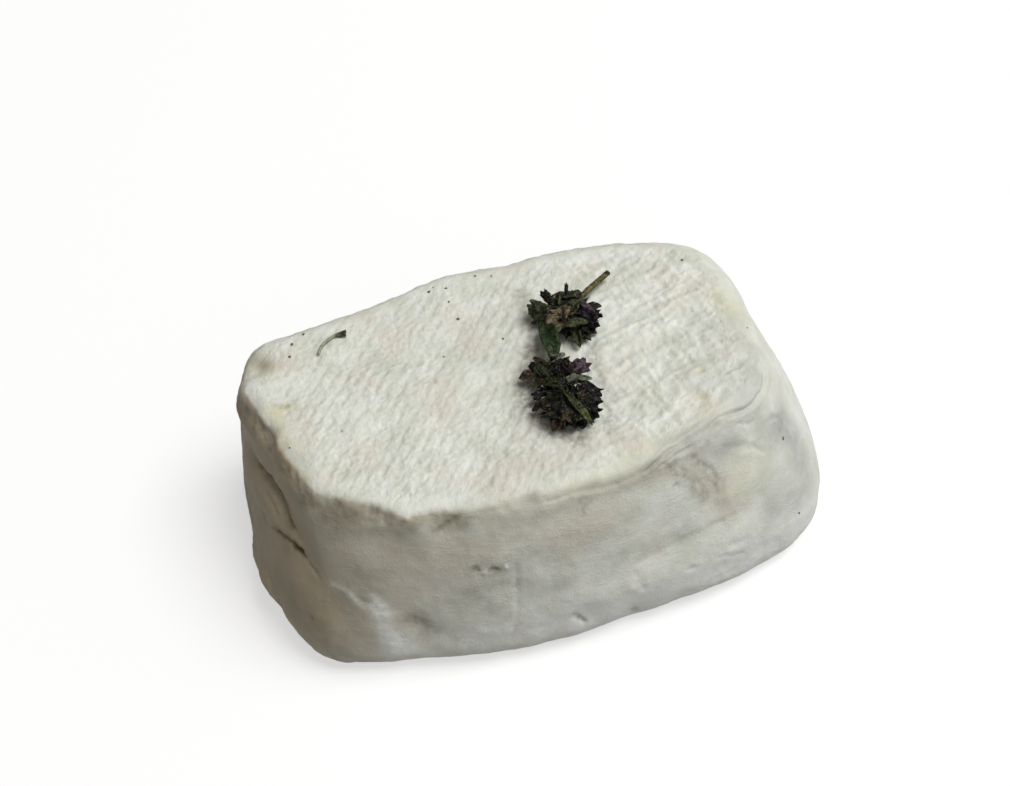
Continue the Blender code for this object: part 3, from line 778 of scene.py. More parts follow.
@dataclass
class CheeseRind:
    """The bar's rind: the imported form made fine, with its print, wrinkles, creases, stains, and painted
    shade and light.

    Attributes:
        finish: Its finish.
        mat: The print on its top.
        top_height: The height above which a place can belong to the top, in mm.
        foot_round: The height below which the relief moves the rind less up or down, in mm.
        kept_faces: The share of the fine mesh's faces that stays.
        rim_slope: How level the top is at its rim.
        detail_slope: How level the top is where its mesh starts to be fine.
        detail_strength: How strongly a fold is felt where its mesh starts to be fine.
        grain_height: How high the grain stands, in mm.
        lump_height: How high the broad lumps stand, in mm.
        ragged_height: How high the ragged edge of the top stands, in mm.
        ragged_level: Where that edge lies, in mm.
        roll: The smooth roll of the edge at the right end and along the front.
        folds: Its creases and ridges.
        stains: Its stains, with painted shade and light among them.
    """

    finish: RindFinish = RindFinish()
    mat: MatPrint = field(default_factory=MatPrint)
    top_height: float = 30.0
    foot_round: float = 5.5
    kept_faces: float = 0.83
    rim_slope: float = 0.9
    detail_slope: float = 0.93
    detail_strength: float = 0.03
    grain_height: float = 0.03
    lump_height: float = 0.24
    ragged_height: float = 0.22
    ragged_level: float = 36.0
    roll: Fold = field(
        default_factory=lambda: Fold(
            ((45.5, 8, 36.5), (45, -6, 36.3), (42, -14, 36), (37, -18.3, 36.2), (28, -22.8, 36.2),
             (19, -27, 35.8), (8, -29.2, 35.8)), 2.0, 1.0, ends=0.0
        )
    )
    folds: tuple[Fold, ...] = (
        # the deep creases on the left end, and the hollow under the upper one
        Fold(((-48.8, 1.4, 26.7), (-47, -2.6, 27.7), (-45.3, -7.6, 29.7), (-43.6, -11.4, 29.9),
              (-42.3, -14.2, 29.7)), 0.5, 0.55, 0.1),
        Fold(((-42.5, -13.6, 29.6), (-42.1, -16.3, 27.5), (-41.4, -19.6, 25.7)), 0.4, 0.3, 0.2),
        Fold(((-46.8, -3.6, 27.4), (-45.5, -8.4, 28.8), (-44, -12, 28.9), (-42.9, -15, 28.3),
              (-42.2, -17.2, 26.9)), 1.3, 0.6),
        Fold(((-47.6, -6.6, 26), (-44.6, -14.3, 25.8)), 0.5, 0.2, 0.4),
        Fold(((-46.8, -12, 21.6), (-45.7, -14.2, 23), (-43.8, -17.7, 24), (-42, -20.6, 23.9)),
             0.45, 0.6, 0.2),
        Fold(((-42, -20.6, 23.9), (-40.5, -23.2, 22.8), (-38.6, -25.6, 22.7)), 0.4, 0.3, 0.2),
        Fold(((-42.6, -19.6, 23.8), (-41.6, -21.4, 23.8)), 0.8, 0.5),
        Fold(((-48.9, -8.5, 21.2),), 1.2, 0.3),
        Fold(((-47.8, -16.2, 17),), 0.8, 0.35),
        Fold(((-43.7, -25.7, 13.1), (-43, -26.6, 12.4)), 0.8, 0.3),
        # the swelling low on the left end, with the notch under it
        Fold(((-52.4, 4.6, 19), (-53, 1, 14), (-53.5, -5.6, 9.8), (-53.6, -7, 7.4)), 3.2, 0.8),
        Fold(((-52.2, -10.8, 6.2), (-50.4, -15, 8), (-49.6, -16.8, 9)), 3.2, -1.35, ends=0.2),
        Fold(((-44.6, -26.6, 3.4), (-41, -29.8, 3.2), (-37.4, -31.8, 3.2)), 2.6, -0.5),
        Fold(((-49.6, -17.6, 8.6), (-49.2, -18.8, 6.8)), 0.8, 0.4),
        # the crisp edge of the top along the left end and its front corner
        Fold(((-50, 10.8, 33.4), (-46.8, 2.6, 35.4), (-43.7, -3.9, 35.6), (-43.1, -9.4, 34.4),
              (-39.6, -15.5, 35.1), (-37.2, -19.9, 35), (-33.8, -23, 35.1), (-30.3, -25.4, 35),
              (-26, -27, 35.2)), 1.4, 0.3, 0.1, ends=0.1),
        Fold(((-45.6, 1.6, 35.6), (-44.3, -1.6, 36), (-43.6, -5, 35.8)), 1.6, 0.2),
        Fold(((-29.6, -24.4, 36.2), (-26.6, -25.4, 36.2), (-23.8, -27, 36)), 1, 0.3),
        Fold(((-19.4, -27.8, 36.4), (-16.2, -28.6, 36), (-14, -28.9, 35.8)), 1, 0.3),
        # the pale ridge down the left front corner, and the dent beside it
        Fold(((-37.3, -27.4, 22.4), (-35, -29.3, 21.3), (-33.6, -30.5, 19.1)), 0.7, -0.16),
        Fold(((-32.4, -30.6, 20.1), (-32, -31.1, 18.4)), 0.9, 0.3, 0.3),
        Fold(((-29.8, -31.4, 19.2), (-29.1, -32.3, 14.2), (-29.2, -33.4, 5.7)), 1.5, -0.2),
        # the notch under the front rim, beside the drip
        Fold(((-12.8, -29.2, 35.6), (-15.1, -29.3, 34.3), (-17.1, -29.5, 33.5)), 0.7, 0.45),
        Fold(((-21, -27.9, 36.4), (-21.2, -28.7, 35.9)), 0.8, -0.3),
        # the scab on the front
        Fold(((-12, -32.4, 25.2), (-11.2, -32.5, 25)), 0.5, 0.3),
        Fold(((-9.2, -32.8, 24.7), (-7.6, -33, 24.1)), 0.5, 0.35, 0.3),
        Fold(((-6.8, -32.9, 24.3), (-5.9, -32.9, 24.3)), 0.5, -0.25),
        Fold(((-10.8, -32.8, 24.3), (-9.6, -32.9, 24.1)), 0.5, -0.25),
        # the crease down the front, and the hooked dent low on it
        Fold(((-5, -32.9, 24.3), (-5.3, -33.7, 19.9), (-5.2, -33.9, 18), (-6.6, -35, 12),
              (-8.4, -35.7, 6.2)), 0.6, 0.10, 0.3, ends=0.2),
        Fold(((3.2, -34.7, 9.6), (4.4, -34.4, 7.6), (5.8, -34.6, 5.9)), 0.6, 0.35, 0.1),
        Fold(((-24.8, -33, 14.8), (-22.2, -33.4, 12.4)), 1.9, 0.2),
        # the groove that the top's edge ends in, from the right end to the front
        Fold(((43.6, -8, 36.2), (43.2, -12.6, 35.9), (42.5, -14.8, 35.3), (40.5, -17, 35),
              (37.6, -18.5, 35.8), (34.4, -19.6, 36.5), (29.8, -22, 36.5), (26, -23.9, 36.4),
              (22.1, -25.8, 36.1), (19.2, -27.3, 35.4)), 0.5, 0.4, 0.45, ends=0.15),
        Fold(((22.1, -26, 36.1), (16.1, -28.1, 35.6), (11.2, -29.1, 35.7), (7, -29.5, 35.9),
              (2, -29.8, 35.9)), 0.55, 0.15, 0.3),
        Fold(((33.8, -20.6, 35.9), (30, -22.6, 35.8), (25.7, -25, 35.4), (21, -26.9, 34.9)),
             0.5, 0.22, 0.4),
        # the ripples and the crumpled patch below it
        Fold(((36.6, -20.2, 34.4), (38.7, -19.4, 33.1), (40.3, -18.5, 32.5)), 0.45, 0.14, 0.4),
        Fold(((42.2, -18, 30.8), (43.4, -17.5, 30.6), (44.9, -16.2, 29.3)), 0.45, 0.14, 0.4),
        Fold(((33.7, -22.6, 32.9), (37.5, -21.7, 30), (41.6, -20.7, 27.1)), 0.7, 0.2, 0.3),
        Fold(((27.6, -24.6, 34), (30.4, -25.2, 30.6), (31.8, -26, 27.6)), 0.45, 0.09, 0.4),
        Fold(((25, -26, 33), (27.6, -26.6, 29.6), (29.6, -27, 26.4)), 0.5, 0.1, 0.4),
        Fold(((24.3, -27.3, 30.2), (24.9, -27.5, 29.4)), 0.5, 0.25),
        # the line where the right front has slumped, and the marks under it
        Fold(((36.5, -26.4, 18.9), (30.3, -28.5, 18.8), (26.5, -29.5, 18.4), (17.6, -31.9, 16.9),
              (13.6, -32.6, 16.7)), 0.7, 0.12, 0.2),
        Fold(((14.2, -32.8, 16.2), (15, -33.3, 14), (16.1, -33.6, 10.6)), 0.8, 0.12, 0.2),
        Fold(((13.6, -33, 4.6),), 0.9, 0.4),
        Fold(((30, -30.6, 12.1), (35.9, -28.8, 9.4)), 0.6, 0.1, 0.3),
        Fold(((23.5, -32.1, 12.1), (26.6, -31.5, 11.4)), 0.6, 0.16, 0.3),
        Fold(((31.8, -29.4, 13.6), (36.8, -27.6, 12.4)), 0.5, 0.08, 0.3),
        Fold(((23, -31.8, 3.6), (33, -29, 3.6), (45, -22.8, 4)), 3, -0.4),
        # the torn places at the left corner, and the small dents on the right
        Fold(((-46.2, 16.4, 36.1), (-44.3, 13.8, 36.3)), 2.2, 0.4, ends=0),
        Fold(((-46.2, 9.6, 36.4), (-43.6, 10, 36.8)), 2.2, -0.3, ends=0),
        Fold(((-43.6, 3.2, 36.9), (-39.4, 2, 36.7)), 0.6, 0.2, 0.3),
        Fold(((32.9, -8.5, 37),), 0.8, 0.3),
        Fold(((31.5, -14.7, 37),), 0.8, 0.3),
        # the back and the right end, which slumped as the front did
        Fold(((-40, 22, 12), (-31, 28.5, 14), (-22, 32.5, 13), (-12, 34, 10)),
             0.7, 0.25, 0.4),
        Fold(((4, 33.5, 26), (5.6, 34.3, 21), (5, 34.8, 16)), 0.8, 0.2, 0.4),
        Fold(((24, 29, 28), (30, 27, 25.5), (36, 23.5, 25), (42, 17, 26)),
             0.6, 0.25, 0.4),
        Fold(((16, 34, 12), (24, 32, 9), (31, 29, 9.5)), 0.8, 0.2, 0.4),
        Fold(((-20, 31, 28), (-16.5, 31.8, 27)), 0.7, 0.35, 0.3),
        Fold(((49.5, 6, 24), (50.5, 2, 20), (51.5, -3, 18.5)), 0.6, 0.3, 0.4),
    )
    stains: tuple[Stain, ...] = (
        # the torn places at the left corner, and the dents on the right; the corner's hollow and nick get
        # painted shade, and its bump a painted highlight
        Stain(((-46.3, 16, 36), (-43.2, 13, 36.5)), 2, 0.5, tone=Tone.CREAM),
        Stain(((-46.8, 10.6, 36), (-43.8, 9, 37)), 2.2, 0.3, tone=Tone.CREAM),
        Stain(((-47.2, 9.6, 36), (-44.6, 6.8, 36.8), (-43.4, 5, 37)), 2.4, 0.5, tone=Tone.BLOOM),
        Stain(((-43.4, 2.6, 37), (-39.6, 1.6, 36.8)), 1.2, 0.5, tone=Tone.CREAM),
        Stain(((-46.3, 16.4, 36.1), (-45, 15, 36.3), (-44.2, 13.8, 36.3)), 1.5, 0.5, tone=Tone.PAINTED_SHADE),
        Stain(((-42.8, 3, 36.9), (-40, 2.2, 36.8)), 0.6, 0.35, tone=Tone.PAINTED_SHADE),
        Stain(((32.9, -8.5, 37),), 1.1, 0.9, tone=Tone.CREAM),
        Stain(((31.5, -14.7, 37),), 1, 0.8, tone=Tone.CREAM),
        # the cream edge of the top, and where it is whitest; the white along the top's back edge is
        # painted light
        Stain(((-42.6, 1.2, 37), (-41.6, -3.6, 37), (-40.6, -7, 36.9)), 1.2, 0.7,
              tone=Tone.CREAM),
        Stain(((9.6, 24.6, 36.6), (19.4, 25.5, 36.6), (28.6, 23.6, 36.6)), 1.8, 0.7, tone=Tone.BLOOM),
        Stain(((1.1, 18.4, 37), (-6, 17, 37)), 2.6, 0.4, tone=Tone.BLOOM),
        Stain(((29, 11, 37), (31, 14, 37)), 3, 0.4, tone=Tone.BLOOM),
        Stain(((40.6, 8.4, 37), (41.6, 3, 36.8)), 2.2, 0.6, tone=Tone.CREAM),
        Stain(((-43, -6, 36.3), (-41.4, -10, 36), (-37.5, -16, 36.3)), 1.1, 0.7,
              tone=Tone.CREAM),
        Stain(((34, -17.6, 37), (22, -23.6, 37), (8, -28, 36.8)), 2.6, 0.25,
              tone=Tone.CREAM),
        # the left end and the front corner, where the coat is thin and brownish; these tones also carry
        # painted shade over the left end, along its shoulder and the top's rim, under the drip and low in
        # the corner
        Stain(((-50, -2, 22), (-44, -18, 18)), 19, 1.5, tone=Tone.BARE_AND_SHADE, wall=True),
        Stain(((-49.6, 8, 33.5), (-44.5, -3, 35.8), (-38, -19, 35)), 2.2, 0.7,
              tone=Tone.BARE_AND_SHADE, wall=True),
        Stain(((-50, 9, 33.5), (-46.2, 1.2, 35.2), (-45, -1.4, 35.4), (-44.4, -4.4, 35.2)),
              1.6, 0.7, tone=Tone.PAINTED_SHADE, wall=True),
        Stain(((-44, -6, 35.2), (-43.1, -9.4, 34.4), (-38, -18.6, 35)), 1.8, 0.4,
              tone=Tone.PAINTED_SHADE, wall=True),
        Stain(((-44.9, -0.4, 36), (-44, -2.6, 36.2), (-43.4, -5.4, 36.1)), 0.9, 0.4,
              tone=Tone.PAINTED_SHADE),
        Stain(((-46, -20, 14), (-42, -27, 12), (-37, -31, 7)), 4.5, 0.4,
              tone=Tone.PAINTED_SHADE),
        Stain(((-38.5, -17.5, 35.2), (-36, -21.5, 34), (-31, -25.2, 33.8)), 3, 1.1,
              tone=Tone.GREY_AND_SHADE, wall=True),
        Stain(((-38, -18.6, 35.2), (-36.2, -21.8, 34), (-33.8, -23.8, 34), (-31.5, -24.9, 34.4)),
              1.9, 0.75, tone=Tone.PAINTED_SHADE, wall=True),
        Stain(((-29.6, -25.6, 34.6), (-24, -28.2, 34.4)), 2.3, 0.9, tone=Tone.GREY_AND_SHADE, wall=True),
        Stain(((-19.6, -29, 35), (-13, -29.8, 34.6)), 1.6, 0.7, tone=Tone.GREY_AND_SHADE, wall=True),
        Stain(((-36, -19.6, 36.2), (-33.2, -21.7, 36.4), (-29.8, -23.9, 36.3), (-26.9, -25, 36.5),
               (-25.3, -25.9, 36.3), (-23.9, -26.8, 36.2)), 0.9, 1, tone=Tone.GREY_AND_SHADE),
        Stain(((-33.2, -21.9, 36.3), (-29.8, -24.2, 36.2), (-25.3, -26.2, 36.2), (-24.1, -27, 36.1)),
              0.8, 0.75, tone=Tone.PAINTED_SHADE),
        Stain(((-23.4, -27.3, 36.2), (-22.2, -28.2, 36)), 0.9, 1, tone=Tone.GREY_AND_SHADE),
        Stain(((-23.4, -27.5, 36.1), (-22.2, -28.6, 35.8)), 0.8, 0.5, tone=Tone.PAINTED_SHADE),
        Stain(((-20.8, -29.4, 35.4), (-20, -28.4, 36.2), (-18.4, -28.6, 36.1), (-16.2, -28.9, 36),
               (-14, -29.1, 35.7)), 0.9, 1.1, tone=Tone.GREY_AND_SHADE),
        Stain(((-20.8, -29.6, 35.2), (-19.6, -28.8, 36), (-17.6, -29, 35.8), (-14, -29.2, 35.5)),
              0.9, 0.45, tone=Tone.PAINTED_SHADE),
        Stain(((-12, -29.1, 36.1), (-6, -29.3, 36.3), (0, -29, 36.6)), 0.9, 0.5,
              tone=Tone.GREY_AND_SHADE),
        Stain(((-37, -26, 28), (-31, -30, 21)), 5.5, 0.8, tone=Tone.GREY_AND_SHADE, wall=True),
        Stain(((-28, -30.6, 27), (-17, -31.6, 27.5), (-14, -33, 20)), 5, 0.35,
              tone=Tone.GREY_AND_SHADE),
        Stain(((-2, -33, 24.4), (3, -33.2, 23)), 2.4, 0.3, tone=Tone.GREY_AND_SHADE),
        # the front, yellowish and drier under the rim, with painted shade in the band just under the rim
        # and under the slumped line
        Stain(((-24, -29, 30), (-5, -32, 30), (12, -31, 29)), 5.5, 0.45,
              tone=Tone.DRY, wall=True),
        Stain(((-12, -29.6, 34.4), (4, -30.2, 34.2), (14, -29, 34.9), (20, -27.3, 35)),
              2, 0.55, tone=Tone.GREY_AND_SHADE, wall=True),
        Stain(((0, -29, 36.6), (5, -29, 36.7), (11.5, -28.3, 36.5)), 0.9, 0.5, tone=Tone.GREY_AND_SHADE),
        Stain(((-14, -32, 26), (-9, -34, 18), (-9, -35, 10)), 4.5, 0.18,
              tone=Tone.PAINTED_SHADE),
        Stain(((36.5, -26.4, 19.4), (26.5, -29.4, 19), (13.6, -32.4, 17.4), (2, -33.5, 19)),
              1.8, 0.18, tone=Tone.PAINTED_SHADE),
        Stain(((14, -28.2, 36.4), (18.4, -27, 36.2), (22, -25.7, 36.3)), 1, 0.5,
              tone=Tone.GREY_AND_SHADE),
        Stain(((20.2, -27.6, 34.2), (23.6, -26.8, 32)), 1.7, 0.55, tone=Tone.DRY),
        Stain(((21, -28.4, 28), (25, -27.6, 27)), 2.2, 0.5, tone=Tone.BLOOM),
        # greyer on the right end, along the groove under its rolled edge and on the top's right part
        Stain(((43.4, -6, 36.5), (42.6, -12, 36.1), (39, -17.2, 35.8), (33, -20.2, 36.4),
               (26, -23.9, 36.3), (20, -26.8, 35.6)), 1.9, 0.4, tone=Tone.ASH),
        Stain(((29, -23.4, 34.2), (36, -21, 32), (44, -17.5, 29)), 4.4, 0.33, tone=Tone.ASH),
        Stain(((31, -23.4, 33.5), (34.6, -22, 32.4)), 1.7, 0.5, tone=Tone.ASH),
        Stain(((46.5, -16.5, 27), (48, -17, 21), (47.5, -20.5, 14), (42, -24, 16)),
              4.2, 0.65, tone=Tone.ASH),
        Stain(((39, 1, 37), (36, -8, 37), (38, -13, 37)), 4, 0.3, tone=Tone.ASH),
        Stain(((38, -22.5, 27), (34, -25.5, 22.5)), 5, 0.35, tone=Tone.CREAM),
        # the creases, their brown mostly painted shade in the hollows
        Stain(((-47.4, -2, 27.5), (-45.3, -7.6, 29.5), (-43.6, -11.4, 29.8), (-42.3, -14.4, 29.6)),
              0.55, 0.45, tone=Tone.BROWN),
        Stain(((-46.4, -5.6, 28.4), (-45, -9.6, 29), (-43.6, -12.8, 29), (-42.6, -15.4, 28.2),
               (-42.2, -17.4, 26.8)), 1.1, 0.55, tone=Tone.BROWN),
        Stain(((-45.7, -14.2, 23), (-43.8, -17.7, 24), (-42, -20.6, 23.9)), 0.55, 0.6,
              tone=Tone.BROWN),
        Stain(((-42.8, -19.4, 23.8), (-41.5, -21.4, 23.8)), 0.9, 0.55, tone=Tone.BROWN),
        Stain(((-42.3, -8.2, 35.9), (-40.6, -11.7, 36)), 0.7, 0.4, tone=Tone.BROWN),
        # the notch, the hollow, the scab and the marks on the front; the dark tones in the notch, the
        # hollow and the dents are partly painted shade, and the white on the scab's raised bits is a
        # painted highlight
        Stain(((-27.2, -25.8, 35.6), (-24.3, -27.4, 35.2)), 0.9, 0.45, tone=Tone.SPECKLED_AND_SHADOW),
        Stain(((-25.4, -32.8, 15.3), (-22.2, -33.4, 12.4)), 1.8, 0.34, tone=Tone.SPECKLED_AND_SHADOW),
        Stain(((-24.8, -32.9, 14.8), (-22.8, -33.2, 12.9)), 1.1, 0.22, tone=Tone.BROWN),
        Stain(((-12.4, -32.4, 25.1), (-5.3, -33, 24.1)), 1.3, 0.3, tone=Tone.SPECKLED_AND_SHADOW),
        Stain(((-13, -33.2, 21.4), (-5.5, -33.6, 20.8)), 1.5, 0.25, tone=Tone.SPECKLED_AND_SHADOW),
        Stain(((-11.8, -32.5, 25.1), (-11.2, -32.5, 24.9)), 0.5, 0.55, tone=Tone.BROWN),
        Stain(((-9, -32.8, 24.6), (-7.7, -33, 24)), 0.5, 0.6, tone=Tone.BROWN),
        Stain(((-6.6, -32.9, 24.3), (-6, -32.9, 24.3)), 0.5, 1, tone=Tone.BLOOM),
        Stain(((-10.6, -32.9, 24.3), (-9.8, -32.9, 24.1)), 0.5, 0.9, tone=Tone.BLOOM),
        Stain(((-5.3, -33.7, 19.9), (-5.2, -33.9, 18.2)), 0.4, 0.3, tone=Tone.BROWN),
        Stain(((-13.2, -29.2, 35.4), (-15.1, -29.3, 34.3), (-16.8, -29.5, 33.6)), 0.7, 0.4,
              tone=Tone.BROWN),
        Stain(((3.2, -34.7, 9.4), (4.4, -34.4, 7.6), (5.4, -34.6, 6.4)), 0.6, 0.5, tone=Tone.SPECKLED_AND_SHADOW),
        Stain(((8.4, -30.1, 34.1),), 1.2, 0.35, tone=Tone.SPECKLED_AND_SHADOW),
        Stain(((7.9, -30.8, 32.4),), 0.4, 0.5, tone=Tone.BROWN),
        Stain(((13.6, -33, 4.6),), 0.9, 0.35, tone=Tone.BROWN),
        Stain(((37.6, -18.5, 35.8), (29.8, -22, 36.4), (19.2, -27.3, 35.4)), 0.5, 0.15,
              tone=Tone.SPECKLED_AND_SHADOW),
        # the crumpled patch on the right; the dark tones along its wrinkles are partly painted shade
        Stain(((27.5, -25.6, 33), (30.2, -26.4, 28)), 2.6, 0.45, tone=Tone.DRY),
        Stain(((31.5, -22.6, 35), (27, -24.8, 34.5), (22, -26.8, 34)), 1.4, 0.2,
              tone=Tone.SPECKLED_AND_SHADOW),
        Stain(((27.6, -24.6, 34), (30.4, -25.4, 30.6), (32.2, -26.4, 26)), 1.1, 0.4,
              tone=Tone.SPECKLED_AND_SHADOW),
        Stain(((24, -26.4, 33.4), (26.6, -26.8, 30.4), (29.4, -27.2, 25.4)), 1.1, 0.4,
              tone=Tone.SPECKLED_AND_SHADOW),
        Stain(((24.5, -27.4, 29.9),), 0.6, 0.35, tone=Tone.BROWN),
        Stain(((32, -26.9, 22.8),), 1.3, 0.2, tone=Tone.SPECKLED_AND_SHADOW),
        # the white bloom low on the front and on the right end; its low band along the front and the right
        # end is also painted light, as if thrown up from the floor
        Stain(((-30.4, -31, 20), (-29.8, -31.9, 16), (-29.4, -32.9, 10.5), (-29.4, -33.4, 5.7)),
              1.5, 1.1, tone=Tone.BLOOM),
        Stain(((-28.6, -32.8, 11.4), (-26, -33.7, 8), (-23.5, -34.2, 5.4)), 1.7, 1.2,
              tone=Tone.BLOOM),
        Stain(((-37.3, -27.4, 22.4), (-35, -29.3, 21.3), (-33.6, -30.5, 19.1)), 0.7, 0.4,
              tone=Tone.BLOOM),
        Stain(((-14, -35, 8), (4, -35, 10)), 4, 0.6, tone=Tone.BLOOM),
        Stain(((6, -34, 6), (24, -32, 8), (46, -23.6, 7)), 5, 1.3, tone=Tone.BLOOM),
        Stain(((50, -8, 28), (52.5, -10, 14)), 5, 0.6, tone=Tone.BLOOM),
        # the sprig's soft shadow on the top beside it, painted on
        Stain(((5, 19.6, 37), (5, 13, 37), (5, 6, 37)), 1.5, 0.35, tone=Tone.SPECKLED_AND_SHADOW),
        Stain(((4.6, 3, 37), (2.6, -1, 37), (2, -7.4, 37), (3, -12, 37),
               (6, -17, 37), (10, -19.4, 37)), 1.9, 0.55, tone=Tone.SPECKLED_AND_SHADOW),
        Stain(((16.4, 2, 37), (15.4, -3, 37), (16.4, -10, 37), (15, -17.6, 37)), 1.6,
              0.3, tone=Tone.SPECKLED_AND_SHADOW),
        # the back
        Stain(((-34, 26, 22), (-10, 33, 26)), 8, 0.6, tone=Tone.DRY, wall=True),
        Stain(((16, 32, 28), (38, 22, 24)), 6, 0.4, tone=Tone.CREAM, wall=True),
        Stain(((-28, 32, 8), (10, 35, 8), (40, 24, 8)), 5, 0.8, tone=Tone.BLOOM),
        Stain(((-20, 31, 28), (-16.5, 31.8, 27)), 1, 0.4, tone=Tone.SPECKLED_AND_SHADOW),
        Stain(((5.5, 34.3, 20),), 1.6, 0.3, tone=Tone.SPECKLED_AND_SHADOW),
    )

    def build(self) -> Object:
        """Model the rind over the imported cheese.

        Returns:
            The rind, a closed mesh.
        """
        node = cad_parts["cheese"]
        rind = bpy.data.objects.new("rind", node.data.copy())
        bpy.context.scene.collection.objects.link(rind)
        rind.data.materials.clear()
        edit_all(rind)
        bpy.ops.mesh.remove_doubles(threshold=0.01 * MM)
        bpy.ops.mesh.tris_convert_to_quads(
            face_threshold=math.radians(60), shape_threshold=math.radians(60)
        )
        pick_faces(rind, lambda face: face.normal.z < -0.99 and face.center.z < 0.05 * MM)
        bpy.ops.mesh.dissolve_faces()
        leave_edit()
        finish_with(rind, "SUBSURF", levels=2, render_levels=2)
        pick_faces(rind, self._needs_detail)
        bpy.ops.mesh.subdivide(number_cuts=1, smoothness=0.0)
        leave_edit()
        places = [vertex.co / MM for vertex in rind.data.vertices]
        normals = [vertex.normal.copy() for vertex in rind.data.vertices]
        self._stain(rind, places, normals)
        self._carve(rind, places, normals)
        finish_with(rind, "DECIMATE", ratio=self.kept_faces)
        rind.data.shade_smooth()
        return rind

    def dress(self, rind: Object) -> None:
        """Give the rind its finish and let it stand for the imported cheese."""
        rind.data.materials.append(self.finish.material())
        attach(rind, BODY)
        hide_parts("cheese")

    def _needs_detail(self, face: MeshPolygon) -> bool:
        """Tell whether a face belongs to the top, or to a crease on a wall."""
        place, normal = face.center / MM, Vector(face.normal)
        if place.z > self.top_height and normal.z > self.detail_slope:
            return True
        return any(fold.strength(place, normal) > self.detail_strength for fold in self.folds)

    def _stain(self, rind: Object, places: Sequence[Vector], normals: Sequence[Vector]) -> None:
        """Paint how strong each tone is at every vertex, as one attribute a tone."""
        for tone in Tone:
            stains = [stain for stain in self.stains if stain.tone is tone]
            paint(
                rind,
                tone.layer,
                [
                    sum(stain.share(place, normal) for stain in stains)
                    for place, normal in zip(places, normals)
                ],
            )

    def _carve(self, rind: Object, places: Sequence[Vector], normals: Sequence[Vector]) -> None:
        """Move every vertex along its normal by the relief there, and keep the fine relief and the top."""
        rim = KDTree(len(places))
        for number, (place, normal) in enumerate(zip(places, normals)):
            if place.z > self.top_height and normal.z < self.rim_slope:
                rim.insert(Vector((place.x, place.y, 0.0)), number)
        rim.balance()
        fine, tops = [], []
        for vertex, place, normal in zip(rind.data.vertices, places, normals):
            top = self._topness(place, normal)
            texture = self._wall_texture(place) * (1 - top)
            if place.z > self.top_height and normal.z > self.rim_slope:
                inside = rim.find(Vector((place.x, place.y, 0.0)))[2]
                texture += self._top_texture(place, normal, inside)
            texture += self.grain_height * noise.noise(place / 0.7)
            push = normal * ((texture + self._lumps(place, normal)) * MM)
            push.z *= min(max(place.z / self.foot_round, 0.0), 1.0)
            vertex.co += push
            fine.append(texture)
            tops.append(top * (1 - self.roll.strength(place, normal)))
        paint(rind, RELIEF, fine)
        paint(rind, TOP, tops)

    def _topness(self, place: Vector, normal: Vector) -> float:
        """Say how much a place belongs to the top rather than to a wall, from 0 to 1."""
        return smooth_step(0.86, 0.985, normal.z) if place.z > self.top_height else 0.0

    def _top_texture(self, place: Vector, normal: Vector, inside: float) -> float:
        """Give the mat print's height in mm. It fades towards the rim.

        Args:
            place: The place, in mm.
            normal: The rind's direction there.
            inside: How far the place is from the rim, in mm.

        Returns:
            The height.
        """
        reach = 2.0 + 2.0 * noise.noise(place / 6.0)
        faded = 0.25 + 0.75 * smooth_step(0.0, 3.5 + reach, inside)
        flat = 1 - 0.9 * self.roll.strength(place, normal)
        return self._topness(place, normal) * faded * flat * self.mat.height_at(place)

    def _wall_texture(self, place: Vector) -> float:
        """Give the height of the walls' level wrinkles, in mm."""
        level = Vector((place.x / 4.0, place.y / 4.0, place.z / 1.6))
        return 0.06 * noise.noise(level) + 0.07 * noise.noise(place / 1.5)

    def _lumps(self, place: Vector, normal: Vector) -> float:
        """Give the height of the lumps, of the ragged rim and of the folds, in mm."""
        height = self.lump_height * noise.noise(place / 5.5 + Vector((9.0, 2.0, 4.0)))
        rim = bell(place.z - self.ragged_level, 1.3) * (1 - smooth_step(0.9, 1.0, normal.z))
        rim *= 1 - self.roll.strength(place, normal)
        height += rim * self.ragged_height * noise.noise(place / 1.6 + Vector((1.0, 4.0, 7.0)))
        for fold in self.folds:
            height += fold.height(place, normal)
        return height


# The thyme


class Herb(Enum):
    """The tints of the thyme's leaves, cups and flowers."""

    DARK_OLIVE = "#2C3119"
    OLIVE = "#3D4326"
    BRIGHT_OLIVE = "#4A562B"
    GREEN = "#2A3B20"
    GREY_GREEN = "#6B705B"
    GREEN_BLACK = "#171B12"
    PURPLE_BLACK = "#161019"
    PURPLE = "#54444F"
    TURNED = "#70614C"
    RED_BROWN = "#413025"
    BROWN = "#3B2C20"
    SOOT = "#242422"
    STEM = "#6A603E"
    CUT_END = "#33301F"


@dataclass(frozen=True)
class Leaf:
    """A leaf of the sprig: where it springs from, where its tip is, and its width, in mm."""

    root: Point
    tip: Point
    width: float
    herb: Herb


@dataclass(frozen=True)
class Cup:
    """A calyx of the sprig: its root, its mouth and its mouth's width, in mm."""

    root: Point
    mouth: Point
    width: float
    herb: Herb


@dataclass(frozen=True)
class Head:
    """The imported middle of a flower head: its place and half sizes, in mm."""

    middle: Point
    half_sizes: Point


